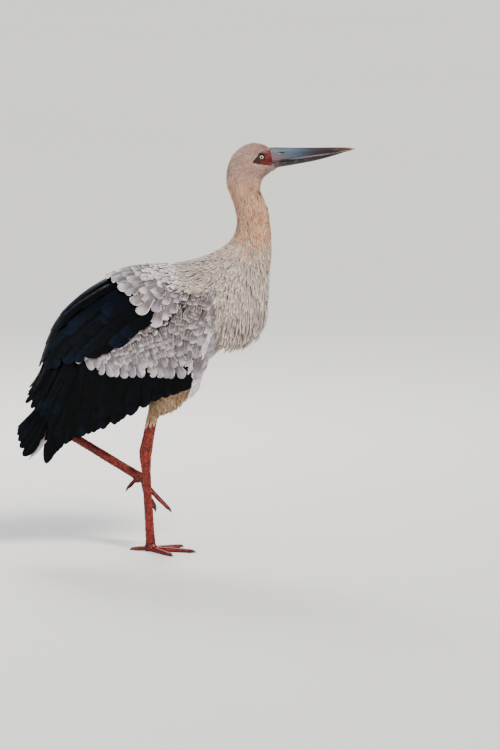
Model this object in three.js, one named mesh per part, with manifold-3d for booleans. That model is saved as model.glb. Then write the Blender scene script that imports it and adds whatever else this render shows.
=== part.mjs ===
// A life-size standing Maguari stork (Ciconia maguari), built as closed, faceted solids that meet with small gaps.
// Millimetres. +X is the way the bird faces, +Y its left side, +Z up.
// The origin is the middle of the standing (right) foot's sole, on the floor.
import * as THREE from "three";
import { mergeVertices } from "three/addons/utils/BufferGeometryUtils.js";
import Module from "manifold-3d";

// ---------------------------------------------------------------- driving dimensions
const GAP = 0.4; // clearance between neighbouring solids
const MID_Y = -4; // the body's mid-plane: the standing foot is nearly under it
const BODY_SIDES = 16; // facets round the head, neck and trunk
const BODY_STEPS = 33; // facets along them
const LIMB_SIDES = 8; // facets round a leg
const TOE_SIDES = 7; // facets round a toe

const CULMEN_TOP_Z = 992; // the bill's straight ridge runs level at this height
const BILL_TIP = { x: 499, z: 988.5 };
const BILL_SINK = 6; // the bill's root reaches this far into the head
const BILL_SEAM = 0.4; // opening between the closed mandibles

const EYE_RADIUS = 7.6;
const EYE = { x: 272, y: 18.2, z: 970.5 }; // y is counted from the mid-plane

const WING_AXIS_DEG = 34; // the folded wing slopes down to the rear at this angle
const SHOULDER = { x: 150, z: 620 }; // where the wing's own coordinates start

const TAIL_ROOT = { x: -196, z: 408 };
const TAIL_DEG = 44; // the tail's ridge falls rearward at this angle

const TARSUS_DEEP = 10.4; // half the tarsus's thickness, fore and aft
const TARSUS_WIDE = 6.6; // half its thickness across
// Each toe: its length with the claw, its half-width, and the claw's share of its length.
const TOES = {
  inner: { length: 86, half: 7, claw: 11 },
  middle: { length: 108, half: 7.5, claw: 12 },
  outer: { length: 90, half: 7, claw: 11 },
  hind: { length: 46, half: 6.6, claw: 12 },
};
// The legs' joints, hip side first, as [x, y, z].
const LEGS = {
  right: { knee: [43, -46, 528], ankle: [-12, -17, 244], foot: [0, 0, 16] },
  left: { knee: [6, 52, 478], ankle: [-224, 27, 301], foot: [-22, 30, 176] },
};
const FEATHERED = { right: 0.6, left: 0.5 }; // share of each tibia that is feathered
const SIDES = { right: -1, left: 1 };

// ---------------------------------------------------------------- materials
function paint(color, roughness) {
  return new THREE.MeshStandardMaterial({ color, roughness, metalness: 0 });
}
const WHITE_PLUMAGE = paint(0xd9ccc2, 0.9);
const COVERT_PLUMAGE = paint(0xb9aa9b, 0.9);
const BLACK_PLUMAGE = paint(0x12171c, 0.6);
const HORN = paint(0x4c5866, 0.4);
const RED_SKIN = paint(0x8e2f22, 0.6);
const CLAW_HORN = paint(0x2b2422, 0.5);
const EYE_GLOSS = paint(0xe9e0cf, 0.1);

// ---------------------------------------------------------------- solids
const wasm = await Module();
wasm.setup();

// A geometry as bare corners and triangles, turned right side out if its warp mirrored it.
function shell(geometry) {
  const g = geometry.clone();
  g.deleteAttribute("normal");
  g.deleteAttribute("uv");
  const merged = mergeVertices(g, 1e-4);
  const index = merged.index.array;
  const corners = merged.attributes.position;
  const [a, b, c] = [new THREE.Vector3(), new THREE.Vector3(), new THREE.Vector3()];
  const triangles = [];
  let volume = 0;
  for (let i = 0; i < index.length; i += 3) {
    const [p, q, r] = [index[i], index[i + 1], index[i + 2]];
    if (p === q || q === r || r === p) continue;
    triangles.push([p, q, r]);
    a.fromBufferAttribute(corners, p);
    volume += a.dot(b.fromBufferAttribute(corners, q).cross(c.fromBufferAttribute(corners, r)));
  }
  return { corners, triangles: volume < 0 ? triangles.map(([p, q, r]) => [p, r, q]) : triangles };
}

function solid(geometry) {
  const { corners, triangles } = shell(geometry);
  const mesh = new wasm.Mesh({
    numProp: 3,
    vertProperties: corners.array,
    triVerts: new Uint32Array(triangles.flat()),
  });
  return new wasm.Manifold(mesh);
}

// The room a geometry needs: the same shape with every face moved out by a clearance.
function room(geometry, clearance = GAP) {
  const { corners, triangles } = shell(geometry);
  const facing = Array.from({ length: corners.count }, () => []);
  const [a, b, c] = [new THREE.Vector3(), new THREE.Vector3(), new THREE.Vector3()];
  for (const triangle of triangles) {
    [a, b, c].forEach((v, i) => v.fromBufferAttribute(corners, triangle[i]));
    const normal = b.clone().sub(a).cross(c.clone().sub(a));
    if (normal.length() < 1e-6) continue;
    normal.normalize();
    for (const i of triangle) facing[i].push(normal);
  }
  const grown = new Float32Array(corners.array);
  facing.forEach((normals, i) => {
    const out = normals.reduce((sum, n) => sum.add(n), new THREE.Vector3()).normalize();
    const least = Math.min(...normals.map((n) => n.dot(out)));
    out.multiplyScalar(clearance / Math.max(least, 0.3));
    grown[3 * i] += out.x;
    grown[3 * i + 1] += out.y;
    grown[3 * i + 2] += out.z;
  });
  const mesh = new wasm.Mesh({ numProp: 3, vertProperties: grown, triVerts: new Uint32Array(triangles.flat()) });
  return new wasm.Manifold(mesh);
}

const without = (made, ...cutters) => cutters.flat().reduce((left, cutter) => left.subtract(cutter), made);

// A copy of a geometry with every vertex moved to place(vertex).
function warp(geometry, place) {
  const g = geometry.clone();
  const position = g.attributes.position;
  const v = new THREE.Vector3();
  for (let i = 0; i < position.count; i++) {
    v.fromBufferAttribute(position, i);
    const moved = place(v);
    position.setXYZ(i, moved.x, moved.y, moved.z);
  }
  return g;
}

const bird = new THREE.Group();

// Adds a solid as a named mesh. Slivers that a cut left beside its main body are dropped.
function add(name, made, material) {
  const [main] = made.decompose().sort((p, q) => q.volume() - p.volume());
  const mesh = main.getMesh();
  const geometry = new THREE.BufferGeometry();
  geometry.setAttribute("position", new THREE.Float32BufferAttribute(mesh.vertProperties, 3));
  geometry.setIndex(new THREE.Uint32BufferAttribute(mesh.triVerts, 1));
  const shown = new THREE.Mesh(geometry, material);
  shown.name = name;
  bird.add(shown);
}

// A smooth line of numbers through keys [at, value], read at any place between them.
function profile(keys) {
  const line = new THREE.SplineCurve(keys.map(([at, value]) => new THREE.Vector2(at, value)));
  const fine = line.getPoints(keys.length * 24);
  return (at) => {
    const next = fine.findIndex((p) => p.x > at);
    if (next < 1) return next === 0 ? fine[0].y : fine[fine.length - 1].y;
    const [p, q] = [fine[next - 1], fine[next]];
    return THREE.MathUtils.mapLinear(at, p.x, q.x, p.y, q.y);
  };
}
const ease = (x) => THREE.MathUtils.smoothstep(x, 0, 1);

// ---------------------------------------------------------------- head, neck and trunk: one loft
// Each station is a slice from a point on the bird's upper side to one on its under side, both as
// [x, z] in the mid-plane, with half the slice's width.
const BODY = [
  { name: "bill root", upper: [291, 993], under: [303, 946], half: 15 },
  { name: "forehead", upper: [276, 1000], under: [294, 932], half: 21.5 },
  { name: "crown", upper: [252, 1004], under: [277, 921], half: 26.5 },
  { name: "hind crown", upper: [226, 996], under: [271, 908], half: 29 },
  { name: "occiput", upper: [200, 972], under: [268.5, 896], half: 30.5 },
  { name: "nape", upper: [187, 934], under: [269.5, 884], half: 30.5 },
  { name: "upper neck", upper: [189, 897], under: [277, 868], half: 30 },
  { name: "slim neck", upper: [203, 862], under: [287, 840], half: 29.5 },
  { name: "mid neck", upper: [213, 824], under: [292.5, 808], half: 30 },
  { name: "low neck", upper: [210, 789], under: [295, 769], half: 33 },
  { name: "neck root", upper: [194, 762], under: [294, 728], half: 42 },
  { name: "withers", upper: [165, 741], under: [289, 676], half: 56 },
  { name: "mantle", upper: [122, 724], under: [287, 618], half: 70 },
  { name: "shoulders", upper: [82, 714], under: [269, 553], half: 79 },
  { name: "breast", upper: [46, 709], under: [222, 520], half: 82 },
  { name: "keel", upper: [6, 703], under: [160, 498], half: 83 },
  { name: "back", upper: [-34, 692], under: [121, 436], half: 80 },
  { name: "loin", upper: [-72, 671], under: [80, 388], half: 75 },
  { name: "flank", upper: [-108, 645], under: [10, 370], half: 70 },
  { name: "belly", upper: [-143, 611], under: [-50, 360], half: 63 },
  { name: "rump", upper: [-180, 562], under: [-118, 352], half: 53 },
  { name: "vent", upper: [-210, 503], under: [-174, 346], half: 41 },
  { name: "tail root", upper: [-234, 446], under: [-218, 346], half: 27 },
];
const SQUARENESS = 2.15; // of a slice: 2 is an ellipse, more is boxier

const midPoint = ([x, z]) => new THREE.Vector3(x, MID_Y, z);
const upperLine = new THREE.CatmullRomCurve3(BODY.map((s) => midPoint(s.upper)));
const underLine = new THREE.CatmullRomCurve3(BODY.map((s) => midPoint(s.under)));
const widthLine = new THREE.CatmullRomCurve3(BODY.map((s, i) => new THREE.Vector3(i, s.half, 0)));

function bodyLoft() {
  const rod = new THREE.CylinderGeometry(1, 1, 1, BODY_SIDES, BODY_STEPS);
  const bent = (s) => Math.sign(s) * Math.abs(s) ** (2 / SQUARENESS);
  return warp(rod, (v) => {
    const t = THREE.MathUtils.clamp(0.5 - v.y, 0, 1);
    const reach = Math.min(1, Math.hypot(v.x, v.z));
    const round = Math.atan2(v.x, v.z);
    const upper = upperLine.getPoint(t);
    const under = underLine.getPoint(t);
    const centre = upper.clone().lerp(under, 0.5);
    const across = widthLine.getPoint(t).y * bent(Math.sin(round)) * reach;
    return centre.lerp(upper, bent(Math.cos(round)) * reach).add(new THREE.Vector3(0, across, 0));
  });
}

// A thin plate through the body at a station, which parts it there.
function partingPlate(name) {
  const i = BODY.findIndex((s) => s.name === name);
  const t = i / (BODY.length - 1);
  const upper = upperLine.getPoint(t);
  const under = underLine.getPoint(t);
  const centre = upper.clone().lerp(under, 0.5);
  const plate = new THREE.BoxGeometry(upper.distanceTo(under) * 1.12, 2.3 * BODY[i].half, GAP);
  plate.rotateY(Math.atan2(under.z - upper.z, upper.x - under.x));
  return solid(plate.translate(centre.x, centre.y, centre.z));
}

// ---------------------------------------------------------------- the folded wing's own surface
// a runs rearward along the wing's axis from the shoulder, b across it towards the back.
const slope = THREE.MathUtils.degToRad(WING_AXIS_DEG);
const [COS, SIN] = [Math.cos(slope), Math.sin(slope)];
const ridgeB = profile([[-90, 20], [-30, 68], [0, 95], [55, 141], [130, 181], [200, 190], [270, 185], [343, 163], [392, 131], [440, 92], [620, 46]]);
const hemB = profile([[-90, -4], [0, -47], [46, -77], [90, -108], [141, -138], [258, -119], [371, -110], [446, -94], [620, -104]]);
const flankHalf = profile([[-90, 60], [-30, 77], [0, 86], [60, 100], [150, 106], [240, 102], [340, 86], [430, 66], [500, 54], [620, 44]]);
// The share of that half-width by which the wing draws in at its lower hem.
const hemTuck = profile([[-90, 0.26], [60, 0.31], [140, 0.36], [260, 0.24], [400, 0.16], [620, 0.14]]);
const CREST_B = 6; // the wing is widest here

// Side-view [x, z] as (a, v): v is 0 at the crest, 1 at the ridge over the back and -1 at the hem.
function onFlank([x, z]) {
  const dx = x - SHOULDER.x;
  const dz = z - SHOULDER.z;
  const a = -dx * COS - dz * SIN;
  const b = -dx * SIN + dz * COS - CREST_B;
  if (b < 0) return new THREE.Vector2(a, b / (CREST_B - hemB(a)));
  return new THREE.Vector2(a, Math.asin(Math.min(1, b / (ridgeB(a) - CREST_B))) / (Math.PI / 2));
}

// The point of the right or left flank (side -1 or 1) at a and v.
function flankPoint(a, v, side) {
  const half = flankHalf(a);
  let b = CREST_B + v * (CREST_B - hemB(a));
  let y = half * (1 - hemTuck(a) * v * v);
  if (v > 0) {
    b = CREST_B + (ridgeB(a) - CREST_B) * Math.sin((v * Math.PI) / 2);
    y = half * Math.cos((v * Math.PI) / 2);
  }
  return new THREE.Vector3(SHOULDER.x - a * COS - b * SIN, MID_Y + side * y, SHOULDER.z - a * SIN + b * COS);
}

function flankNormal(a, v, side) {
  const along = flankPoint(a + 8, v, side).sub(flankPoint(a - 8, v, side));
  const across = flankPoint(a, v + 0.05, side).sub(flankPoint(a, v - 0.05, side));
  return along.cross(across).normalize().multiplyScalar(side);
}

// A feathered area of the wing as a shell: low and high are its edges from front to rear, as side-view [x, z] or as
// { a, v }. lift is how far its face stands off the flank and thick is how thick it is, both functions of u (front to
// rear) and w (low to high). hem and trail scallop its lower and rear edges, in mm.
function wingShell(shape, side) {
  const { low, high, lift, thick, steps, hem = () => 0, trail = () => 0 } = shape;
  const place = (p) => (p.a === undefined ? onFlank(p) : new THREE.Vector2(p.a, p.v));
  const lowLine = new THREE.SplineCurve(low.map(place));
  const highLine = new THREE.SplineCurve(high.map(place));
  const sheet = new THREE.BoxGeometry(1, 1, 1, steps[0], 1, steps[1]);
  return warp(sheet, (p) => {
    const u = p.x + 0.5;
    const w = p.z + 0.5;
    const at = lowLine.getPoint(u).lerp(highLine.getPoint(u), w);
    at.y -= (hem(u) * (1 - w)) / (CREST_B - hemB(at.x));
    at.x += u ** 4 * trail(w);
    const depth = lift(u, w) - (p.y > 0 ? 0 : thick(u, w));
    return flankPoint(at.x, at.y, side).addScaledVector(flankNormal(at.x, at.y, side), depth);
  });
}
const scallops = (count, size) => (t) => size * Math.abs(Math.sin(Math.PI * count * t));

// White scapulars lie over the roots of the black ones.
const MANTLE = {
  low: [[150, 661], [112, 648.5], [76, 622], [48, 585], [16, 570]],
  high: [{ a: 4, v: 0.62 }, { a: 40, v: 0.82 }, { a: 90, v: 0.9 }, { a: 140, v: 0.92 }, { a: 180, v: 0.9 }],
  lift: (u, w) => 8 - 12 * (1 - ease(u * 3)) - 2 * w,
  thick: (u) => 6 + 7 * ease(u * 3) - 7 * ease(u * 2 - 1),
  trail: scallops(3, 14),
  steps: [7, 6],
};
const SCAPULARS = {
  low: [[62, 627], [52, 622.5], [-20, 572.5], [-84, 523.5], [-170, 482], [-240, 458]],
  high: [{ a: 110, v: 0.88 }, { a: 170, v: 0.92 }, { a: 240, v: 0.94 }, { a: 310, v: 0.95 }, { a: 370, v: 0.95 }, { a: 424, v: 0.92 }],
  lift: (u, w) => 4 - 2 * w,
  thick: (u) => 10 - 6 * ease(u * 2 - 1),
  hem: scallops(5, 5),
  steps: [10, 3],
};
const COVERTS = {
  low: [[166, 620], [163, 578], [154, 535], [138, 480], [114, 430], [60, 442], [0, 447], [-61, 443], [-122, 457], [-166, 482]],
  high: [[163, 655], [140, 650], [112, 642], [80, 630], [40, 608], [0, 582], [-40, 553], [-84, 521], [-160, 494]],
  lift: (u, w) => 3 - 5 * (1 - ease(u * 6)) - 1.5 * (1 - w),
  thick: (u, w) => 5 + 9 * ease(u * 5) * ease(w * 3),
  hem: (u) => scallops(7, 7)(u) * ease(u * 3 - 1),
  steps: [14, 3],
};
const QUILLS = {
  low: [[109, 421], [60, 399], [0, 379], [-98, 324], [-171, 297], [-229, 268], [-262, 224]],
  high: [[112, 428.5], [60, 440.5], [0, 445.5], [-61, 441.5], [-122, 455.5], [-170, 480], [-214, 470], { a: 430, v: 0.6 }],
  lift: (u) => -3 - 6 * (1 - ease(u * 8)),
  thick: (u, w) => 3.5 + 4.5 * ease(w * 2),
  hem: scallops(10, 8),
  steps: [20, 2],
};
const WING_AREAS = [
  ["mantle", MANTLE, WHITE_PLUMAGE],
  ["scapulars", SCAPULARS, BLACK_PLUMAGE],
  ["coverts", COVERTS, COVERT_PLUMAGE],
  ["quills", QUILLS, BLACK_PLUMAGE],
];

const wingRoom = [];
for (const [sideName, side] of Object.entries(SIDES)) {
  const above = []; // each area lies under the ones before it
  for (const [area, shape, material] of WING_AREAS) {
    const geometry = wingShell(shape, side);
    add(`wing_${sideName}_${area}`, without(solid(geometry), above), material);
    above.push(room(geometry, 2 * GAP)); // a shell's corners are sharp, so it takes more room
  }
  wingRoom.push(...above);
}

// ---------------------------------------------------------------- bill and eyes
// A mandible as a loft along x: each station is [x, top z, bottom z, half width]. The upper one is a rounded roof over
// a flat, the lower one its mirror image.
function mandible(stations, isUpper) {
  const through = (pick) => new THREE.CatmullRomCurve3(stations.map((s) => new THREE.Vector3(s[0], pick(s), 0)));
  const [tops, lows, halves] = [1, 2, 3].map((i) => through((s) => s[i]));
  return warp(new THREE.CylinderGeometry(1, 1, 1, 10, 7), (v) => {
    const t = THREE.MathUtils.clamp(v.y + 0.5, 0, 1);
    const reach = Math.min(1, Math.hypot(v.x, v.z));
    const round = Math.atan2(v.x, v.z);
    const [crest, flat] = isUpper ? [tops, lows] : [lows, tops];
    const level = Math.cos(round) > 0 ? 0.12 + 0.88 * Math.cos(round) * reach : 0.12 - 0.12 * reach;
    const z = THREE.MathUtils.lerp(flat.getPoint(t).y, crest.getPoint(t).y, level);
    const across = Math.sin(round) * reach * halves.getPoint(t).y;
    return new THREE.Vector3(tops.getPoint(t).x, MID_Y + across, z);
  });
}
const billUpper = mandible(
  [
    [291 - BILL_SINK, 992.5, 957, 15.5],
    [318, CULMEN_TOP_Z + 0.6, 959.5, 12.6],
    [350, CULMEN_TOP_Z, 963, 10.8],
    [400, CULMEN_TOP_Z, 970, 8.2],
    [450, CULMEN_TOP_Z + 0.4, 979, 5.2],
    [480, CULMEN_TOP_Z, 985.4, 3.2],
    [BILL_TIP.x, BILL_TIP.z + 0.8, BILL_TIP.z - 0.6, 0.9],
  ],
  true,
);
const billLower = mandible(
  [
    [297 - BILL_SINK, 957 - BILL_SEAM, 941, 13],
    [318, 959.5 - BILL_SEAM, 945, 11.4],
    [350, 963 - BILL_SEAM, 950.5, 9.6],
    [400, 970 - BILL_SEAM, 960, 7.2],
    [450, 979 - BILL_SEAM, 973.5, 4.4],
    [474, 984.2 - BILL_SEAM, 981.4, 2.8],
    [490, 987.2 - BILL_SEAM, 985.8, 1.2],
  ],
  false,
);
add("bill_upper", solid(billUpper), HORN);
add("bill_lower", without(solid(billLower), room(billUpper, 0.3)), HORN);
const headRoom = [room(billUpper), room(billLower)];

for (const [sideName, side] of Object.entries(SIDES)) {
  const ball = new THREE.SphereGeometry(EYE_RADIUS, 10, 7).translate(EYE.x, MID_Y + side * EYE.y, EYE.z);
  add(`eye_${sideName}`, solid(ball), EYE_GLOSS);
  headRoom.push(room(ball));
}

// ---------------------------------------------------------------- limbs
// A limb as a loft along a curve: each station is { at: [x, y, z], deep, wide }, with deep across the limb in the
// fore-and-aft plane and wide in y.
function limb(stations, sides, steps) {
  const line = new THREE.CatmullRomCurve3(stations.map((s) => new THREE.Vector3(...s.at)));
  const girth = new THREE.CatmullRomCurve3(stations.map((s, i) => new THREE.Vector3(i, s.deep, s.wide)));
  return warp(new THREE.CylinderGeometry(1, 1, 1, sides, steps), (v) => {
    const t = THREE.MathUtils.clamp(0.5 - v.y, 0, 1);
    const along = line.getTangent(t);
    const across = new THREE.Vector3(0, 1, 0).addScaledVector(along, -along.y).normalize();
    const fore = across.clone().cross(along).normalize();
    const size = girth.getPoint(t);
    return line.getPoint(t).addScaledVector(fore, v.z * size.y).addScaledVector(across, v.x * size.z);
  });
}
const between = (p, q, t) => p.map((value, i) => value + (q[i] - value) * t);

// The feathered drumstick, wide where it leaves the body and close round the tibia below. skirt is how far its shaggy
// front hangs ahead of the bone.
function thigh({ knee, ankle }, share, skirt) {
  const slice = (t, ahead, deep, wide) => {
    const [x, y, z] = between(knee, ankle, t * share);
    return { at: [x + ahead * skirt, y, z], deep, wide };
  };
  const slices = [slice(0.3, 30, 52, 30), slice(0.62, 34, 50, 29), slice(0.8, 26, 40, 24), slice(0.92, 13, 26, 18), slice(1, 5, 16, 13)];
  return limb(slices, 10, 6);
}

function shank({ knee, ankle }, share) {
  return limb(
    [
      { at: between(knee, ankle, share - 0.06), deep: 12.8, wide: 9.2 },
      { at: between(knee, ankle, 0.84), deep: 13.4, wide: 9.6 },
      { at: between(knee, ankle, 0.95), deep: 15.4, wide: 11 },
      { at: ankle, deep: 15.6, wide: 11.2 },
    ],
    LIMB_SIDES,
    5,
  );
}

function tarsus({ ankle, foot }) {
  return limb(
    [
      { at: between(ankle, foot, -0.03), deep: 14, wide: 10.2 },
      { at: between(ankle, foot, 0.06), deep: 14.2, wide: 10.4 },
      { at: between(ankle, foot, 0.17), deep: TARSUS_DEEP, wide: TARSUS_WIDE + 0.4 },
      { at: between(ankle, foot, 0.55), deep: TARSUS_DEEP, wide: TARSUS_WIDE },
      { at: between(ankle, foot, 0.88), deep: TARSUS_DEEP + 0.4, wide: TARSUS_WIDE + 1 },
      { at: foot, deep: TARSUS_DEEP + 2.6, wide: TARSUS_WIDE + 3.4 },
    ],
    LIMB_SIDES,
    7,
  );
}

// A toe through its joints, thinning towards the claw, a little slimmer between the pads under its joints.
function toe(joints, half) {
  const stations = [];
  joints.forEach((joint, i) => {
    const girth = half * (1 - (0.28 * i) / (joints.length - 1));
    stations.push({ at: joint.toArray(), deep: girth * 0.92, wide: girth });
    if (i < joints.length - 1) {
      const middle = joint.clone().lerp(joints[i + 1], 0.5);
      stations.push({ at: middle.toArray(), deep: girth * 0.8, wide: girth * 0.84 });
    }
  });
  return limb(stations, TOE_SIDES, stations.length - 1);
}

function claw(tip, ahead, size, length, droop) {
  const at = (share, fall) => [
    tip.x + ahead.x * length * share,
    tip.y + ahead.y * length * share,
    tip.z + ahead.z * length * share - fall,
  ];
  return limb(
    [
      { at: at(-0.2, 0), deep: size, wide: size * 0.86 },
      { at: at(0.45, droop * 0.3), deep: size * 0.72, wide: size * 0.6 },
      { at: at(1, droop), deep: 0.7, wide: 0.6 },
    ],
    5,
    2,
  );
}

const BELOW_FLOOR = solid(new THREE.BoxGeometry(600, 600, 100).translate(0, 0, -50));

// One foot: the sole pad with the short webs between the front toes, and four toes with their claws. Each toe has a
// root point and the directions of its bones.
function addFoot(sideName, { centre, turn, toes, droop, standing }, shankEnd) {
  const trim = (made) => (standing ? without(made, BELOW_FLOOR) : made);
  const middle = new THREE.Vector3(...centre);
  const paths = {};
  for (const [toeName, { root, bones }] of Object.entries(toes)) {
    const { length, claw: clawLength } = TOES[toeName];
    const joints = [new THREE.Vector3(...root)];
    for (const bone of bones) {
      const way = new THREE.Vector3(...bone).setLength((length - clawLength) / bones.length);
      joints.push(joints[joints.length - 1].clone().add(way));
    }
    paths[toeName] = joints;
  }
  const pad = warp(new THREE.SphereGeometry(1, 8, 5), (v) =>
    new THREE.Vector3(v.x * 17, v.y * 14.5, v.z * 11).applyQuaternion(turn).add(middle),
  );
  let sole = solid(pad);
  for (const pair of [["inner", "middle"], ["middle", "outer"]]) {
    const [p, q] = pair.map((toeName) => middle.clone().lerp(paths[toeName][1], 0.92));
    const across = q.clone().sub(p);
    const up = across.clone().cross(p.clone().lerp(q, 0.5).sub(middle)).normalize();
    const web = warp(new THREE.BoxGeometry(1, 1, 1), (v) => {
      const edge = middle.clone().lerp(p.clone().lerp(q, v.y + 0.5), v.x + 0.5);
      return edge.addScaledVector(up, v.z * 3.2).addScaledVector(across, (v.y * (0.5 - v.x) * 6) / across.length());
    });
    sole = sole.add(solid(web));
  }
  const taken = [room(shankEnd)];
  for (const [toeName, joints] of Object.entries(paths)) {
    const { half, claw: clawLength } = TOES[toeName];
    const geometry = toe(joints, half);
    add(`foot_${sideName}_toe_${toeName}`, trim(without(solid(geometry), taken)), RED_SKIN);
    taken.push(room(geometry));
    const tip = joints[joints.length - 1];
    const ahead = tip.clone().sub(joints[joints.length - 2]).normalize();
    const nail = claw(tip, ahead, half * 0.6, clawLength, droop);
    add(`foot_${sideName}_claw_${toeName}`, trim(without(solid(nail), room(geometry))), CLAW_HORN);
  }
  add(`foot_${sideName}_sole`, trim(without(sole, taken)), RED_SKIN);
}

// ---------------------------------------------------------------- tail
// The tail is a forked, roof-shaped fan under the folded wings. along runs down its ridge.
const tailSlope = THREE.MathUtils.degToRad(TAIL_DEG);
function tailPoint(along, across, up) {
  const x = TAIL_ROOT.x - along * Math.cos(tailSlope) - up * Math.sin(tailSlope);
  const z = TAIL_ROOT.z - along * Math.sin(tailSlope) + up * Math.cos(tailSlope);
  return new THREE.Vector3(x, MID_Y + across, z);
}
function tailShell() {
  return warp(new THREE.BoxGeometry(1, 1, 1, 4, 10, 1), (v) => {
    const t = v.x + 0.5;
    const side = v.y * 2; // -1 to 1 across the fan
    const length = 158 + 40 * Math.abs(side) ** 1.2 - 4 * Math.abs(Math.cos(side * Math.PI * 3));
    const drop = (16 + 46 * ease(t)) * side * side;
    const thick = THREE.MathUtils.lerp(14, 3, ease(t * 1.4));
    return tailPoint(t * length, side * (22 + 30 * ease(t)), 20 - 4 * ease(t) - drop + v.z * thick);
  });
}
// Stiff white coverts lie under the tail, in a fan that reaches the tips of the outer tail feathers.
function undertailShell() {
  return warp(new THREE.BoxGeometry(1, 1, 1, 4, 8, 1), (v) => {
    const t = v.x + 0.5;
    const side = v.y * 2;
    const length = 196 - 26 * (1 - Math.abs(side)) - 8 * Math.abs(Math.sin(side * Math.PI * 2.5));
    const drop = (8 + 30 * ease(t)) * side * side;
    const thick = THREE.MathUtils.lerp(22, 2.4, ease(t * 1.3));
    return tailPoint(t * length, side * (24 + 14 * ease(t)), -18 + 6 * t - drop + v.z * thick);
  });
}

// ---------------------------------------------------------------- assembly
const body = bodyLoft();
const bodyRoom = room(body);
const legRoom = [];
const thighRoom = [];
for (const [sideName, joints] of Object.entries(LEGS)) {
  const share = FEATHERED[sideName];
  const drumstick = thigh(joints, share, sideName === "right" ? 1 : 0.3);
  const bare = shank(joints, share);
  const shin = tarsus(joints);
  const standing = sideName === "right";
  add(`leg_${sideName}_thigh`, without(solid(drumstick), bodyRoom, wingRoom, thighRoom), WHITE_PLUMAGE);
  add(`leg_${sideName}_shank`, without(solid(bare), room(drumstick), bodyRoom, wingRoom), RED_SKIN);
  add(`leg_${sideName}_tarsus`, without(solid(shin), room(bare), wingRoom, standing ? [BELOW_FLOOR] : []), RED_SKIN);
  thighRoom.push(room(drumstick));
  legRoom.push(room(bare), room(shin));
}

let whole = without(solid(body), wingRoom, headRoom);
for (const name of ["nape", "mid neck", "withers"]) whole = whole.subtract(partingPlate(name));
const lengths = whole
  .decompose()
  .filter((piece) => piece.volume() > 3000)
  .sort((p, q) => q.boundingBox().max[2] - p.boundingBox().max[2]);
["head", "neck_upper", "neck_lower", "trunk"].forEach((name, i) => add(name, lengths[i], WHITE_PLUMAGE));

const tail = tailShell();
add("tail", without(solid(tail), bodyRoom, wingRoom, legRoom), BLACK_PLUMAGE);
add("tail_undercoverts", without(solid(undertailShell()), bodyRoom, wingRoom, legRoom, room(tail)), WHITE_PLUMAGE);

// The standing foot is flat on the floor. Each front toe points this many degrees from straight ahead.
const STANDING = { inner: 30, middle: -14, outer: -55, hind: 168 };
const standingToes = {};
for (const [toeName, degrees] of Object.entries(STANDING)) {
  const angle = THREE.MathUtils.degToRad(degrees);
  const [x, y] = [Math.cos(angle), Math.sin(angle)];
  const [out, height, fall] = toeName === "hind" ? [9, 7, -0.1] : [8, 5.2, -0.016];
  standingToes[toeName] = { root: [out * x, out * y, height], bones: [[x, y, fall], [x, y, fall], [x, y, fall]] };
}
const standingFoot = { centre: [0, 0, 7.5], turn: new THREE.Quaternion(), toes: standingToes, droop: 3, standing: true };
addFoot("right", standingFoot, tarsus(LEGS.right));

// The lifted foot hangs with its toes drooping forward and down.
const [liftX, liftY, liftZ] = LEGS.left.foot;
const hangingToes = {
  inner: { root: [liftX + 2, liftY - 5, liftZ - 3], bones: [[0.2, -0.34, -0.92], [0.42, -0.2, -0.88], [0.5, -0.1, -0.86]] },
  middle: { root: [liftX + 4, liftY, liftZ - 2], bones: [[0.52, 0.02, -0.86], [0.68, 0.02, -0.73], [0.7, 0, -0.71]] },
  outer: { root: [liftX + 2, liftY + 5, liftZ - 3], bones: [[0.16, 0.38, -0.92], [0.4, 0.3, -0.87], [0.5, 0.2, -0.85]] },
  hind: { root: [liftX - 8, liftY, liftZ + 1], bones: [[-0.78, 0, -0.62], [-0.74, 0, -0.67], [-0.62, 0, -0.78]] },
};
const hangingTurn = new THREE.Quaternion().setFromAxisAngle(new THREE.Vector3(0, 1, 0), 0.7);
const hangingFoot = { centre: LEGS.left.foot, turn: hangingTurn, toes: hangingToes, droop: 3, standing: false };
addFoot("left", hangingFoot, tarsus(LEGS.left));

export default bird;
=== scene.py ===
# %% [markdown]
# # A Maguari stork, life-size and still
# The stork stands on its right leg with the left one folded up behind it. Its solids were made first, in another
# program, at their real size. Here they become a guide: one skin is drawn over the flesh, and every feather, scale,
# claw and eye is built on it as real mesh. Working on top of measured solids keeps the bird's size and pose true.

# %% Load the solids
import math

import bmesh
import bpy
import numpy as np
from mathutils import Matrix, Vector
from mathutils.bvhtree import BVHTree


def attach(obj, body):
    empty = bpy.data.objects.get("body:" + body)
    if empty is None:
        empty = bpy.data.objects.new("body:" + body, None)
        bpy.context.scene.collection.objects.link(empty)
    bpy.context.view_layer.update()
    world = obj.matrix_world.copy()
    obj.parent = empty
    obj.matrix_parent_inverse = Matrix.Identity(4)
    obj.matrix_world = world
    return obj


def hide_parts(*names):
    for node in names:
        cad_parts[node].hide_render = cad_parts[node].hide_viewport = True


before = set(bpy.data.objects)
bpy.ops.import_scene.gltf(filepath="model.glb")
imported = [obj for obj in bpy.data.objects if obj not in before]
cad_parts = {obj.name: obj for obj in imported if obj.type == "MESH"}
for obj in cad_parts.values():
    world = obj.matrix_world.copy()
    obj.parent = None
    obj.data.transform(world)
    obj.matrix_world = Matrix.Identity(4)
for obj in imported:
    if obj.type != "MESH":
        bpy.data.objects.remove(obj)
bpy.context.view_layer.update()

# %% [markdown]
# Everything is measured in metres, but a bird is easier to think of in millimetres, so sizes are written in
# millimetres and multiplied by MM. The random numbers come from one generator with a fixed seed, so each run gives the
# same bird. MID is the bird's middle plane. The last helpers turn bmesh work into meshes, objects and visible pieces.

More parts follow.
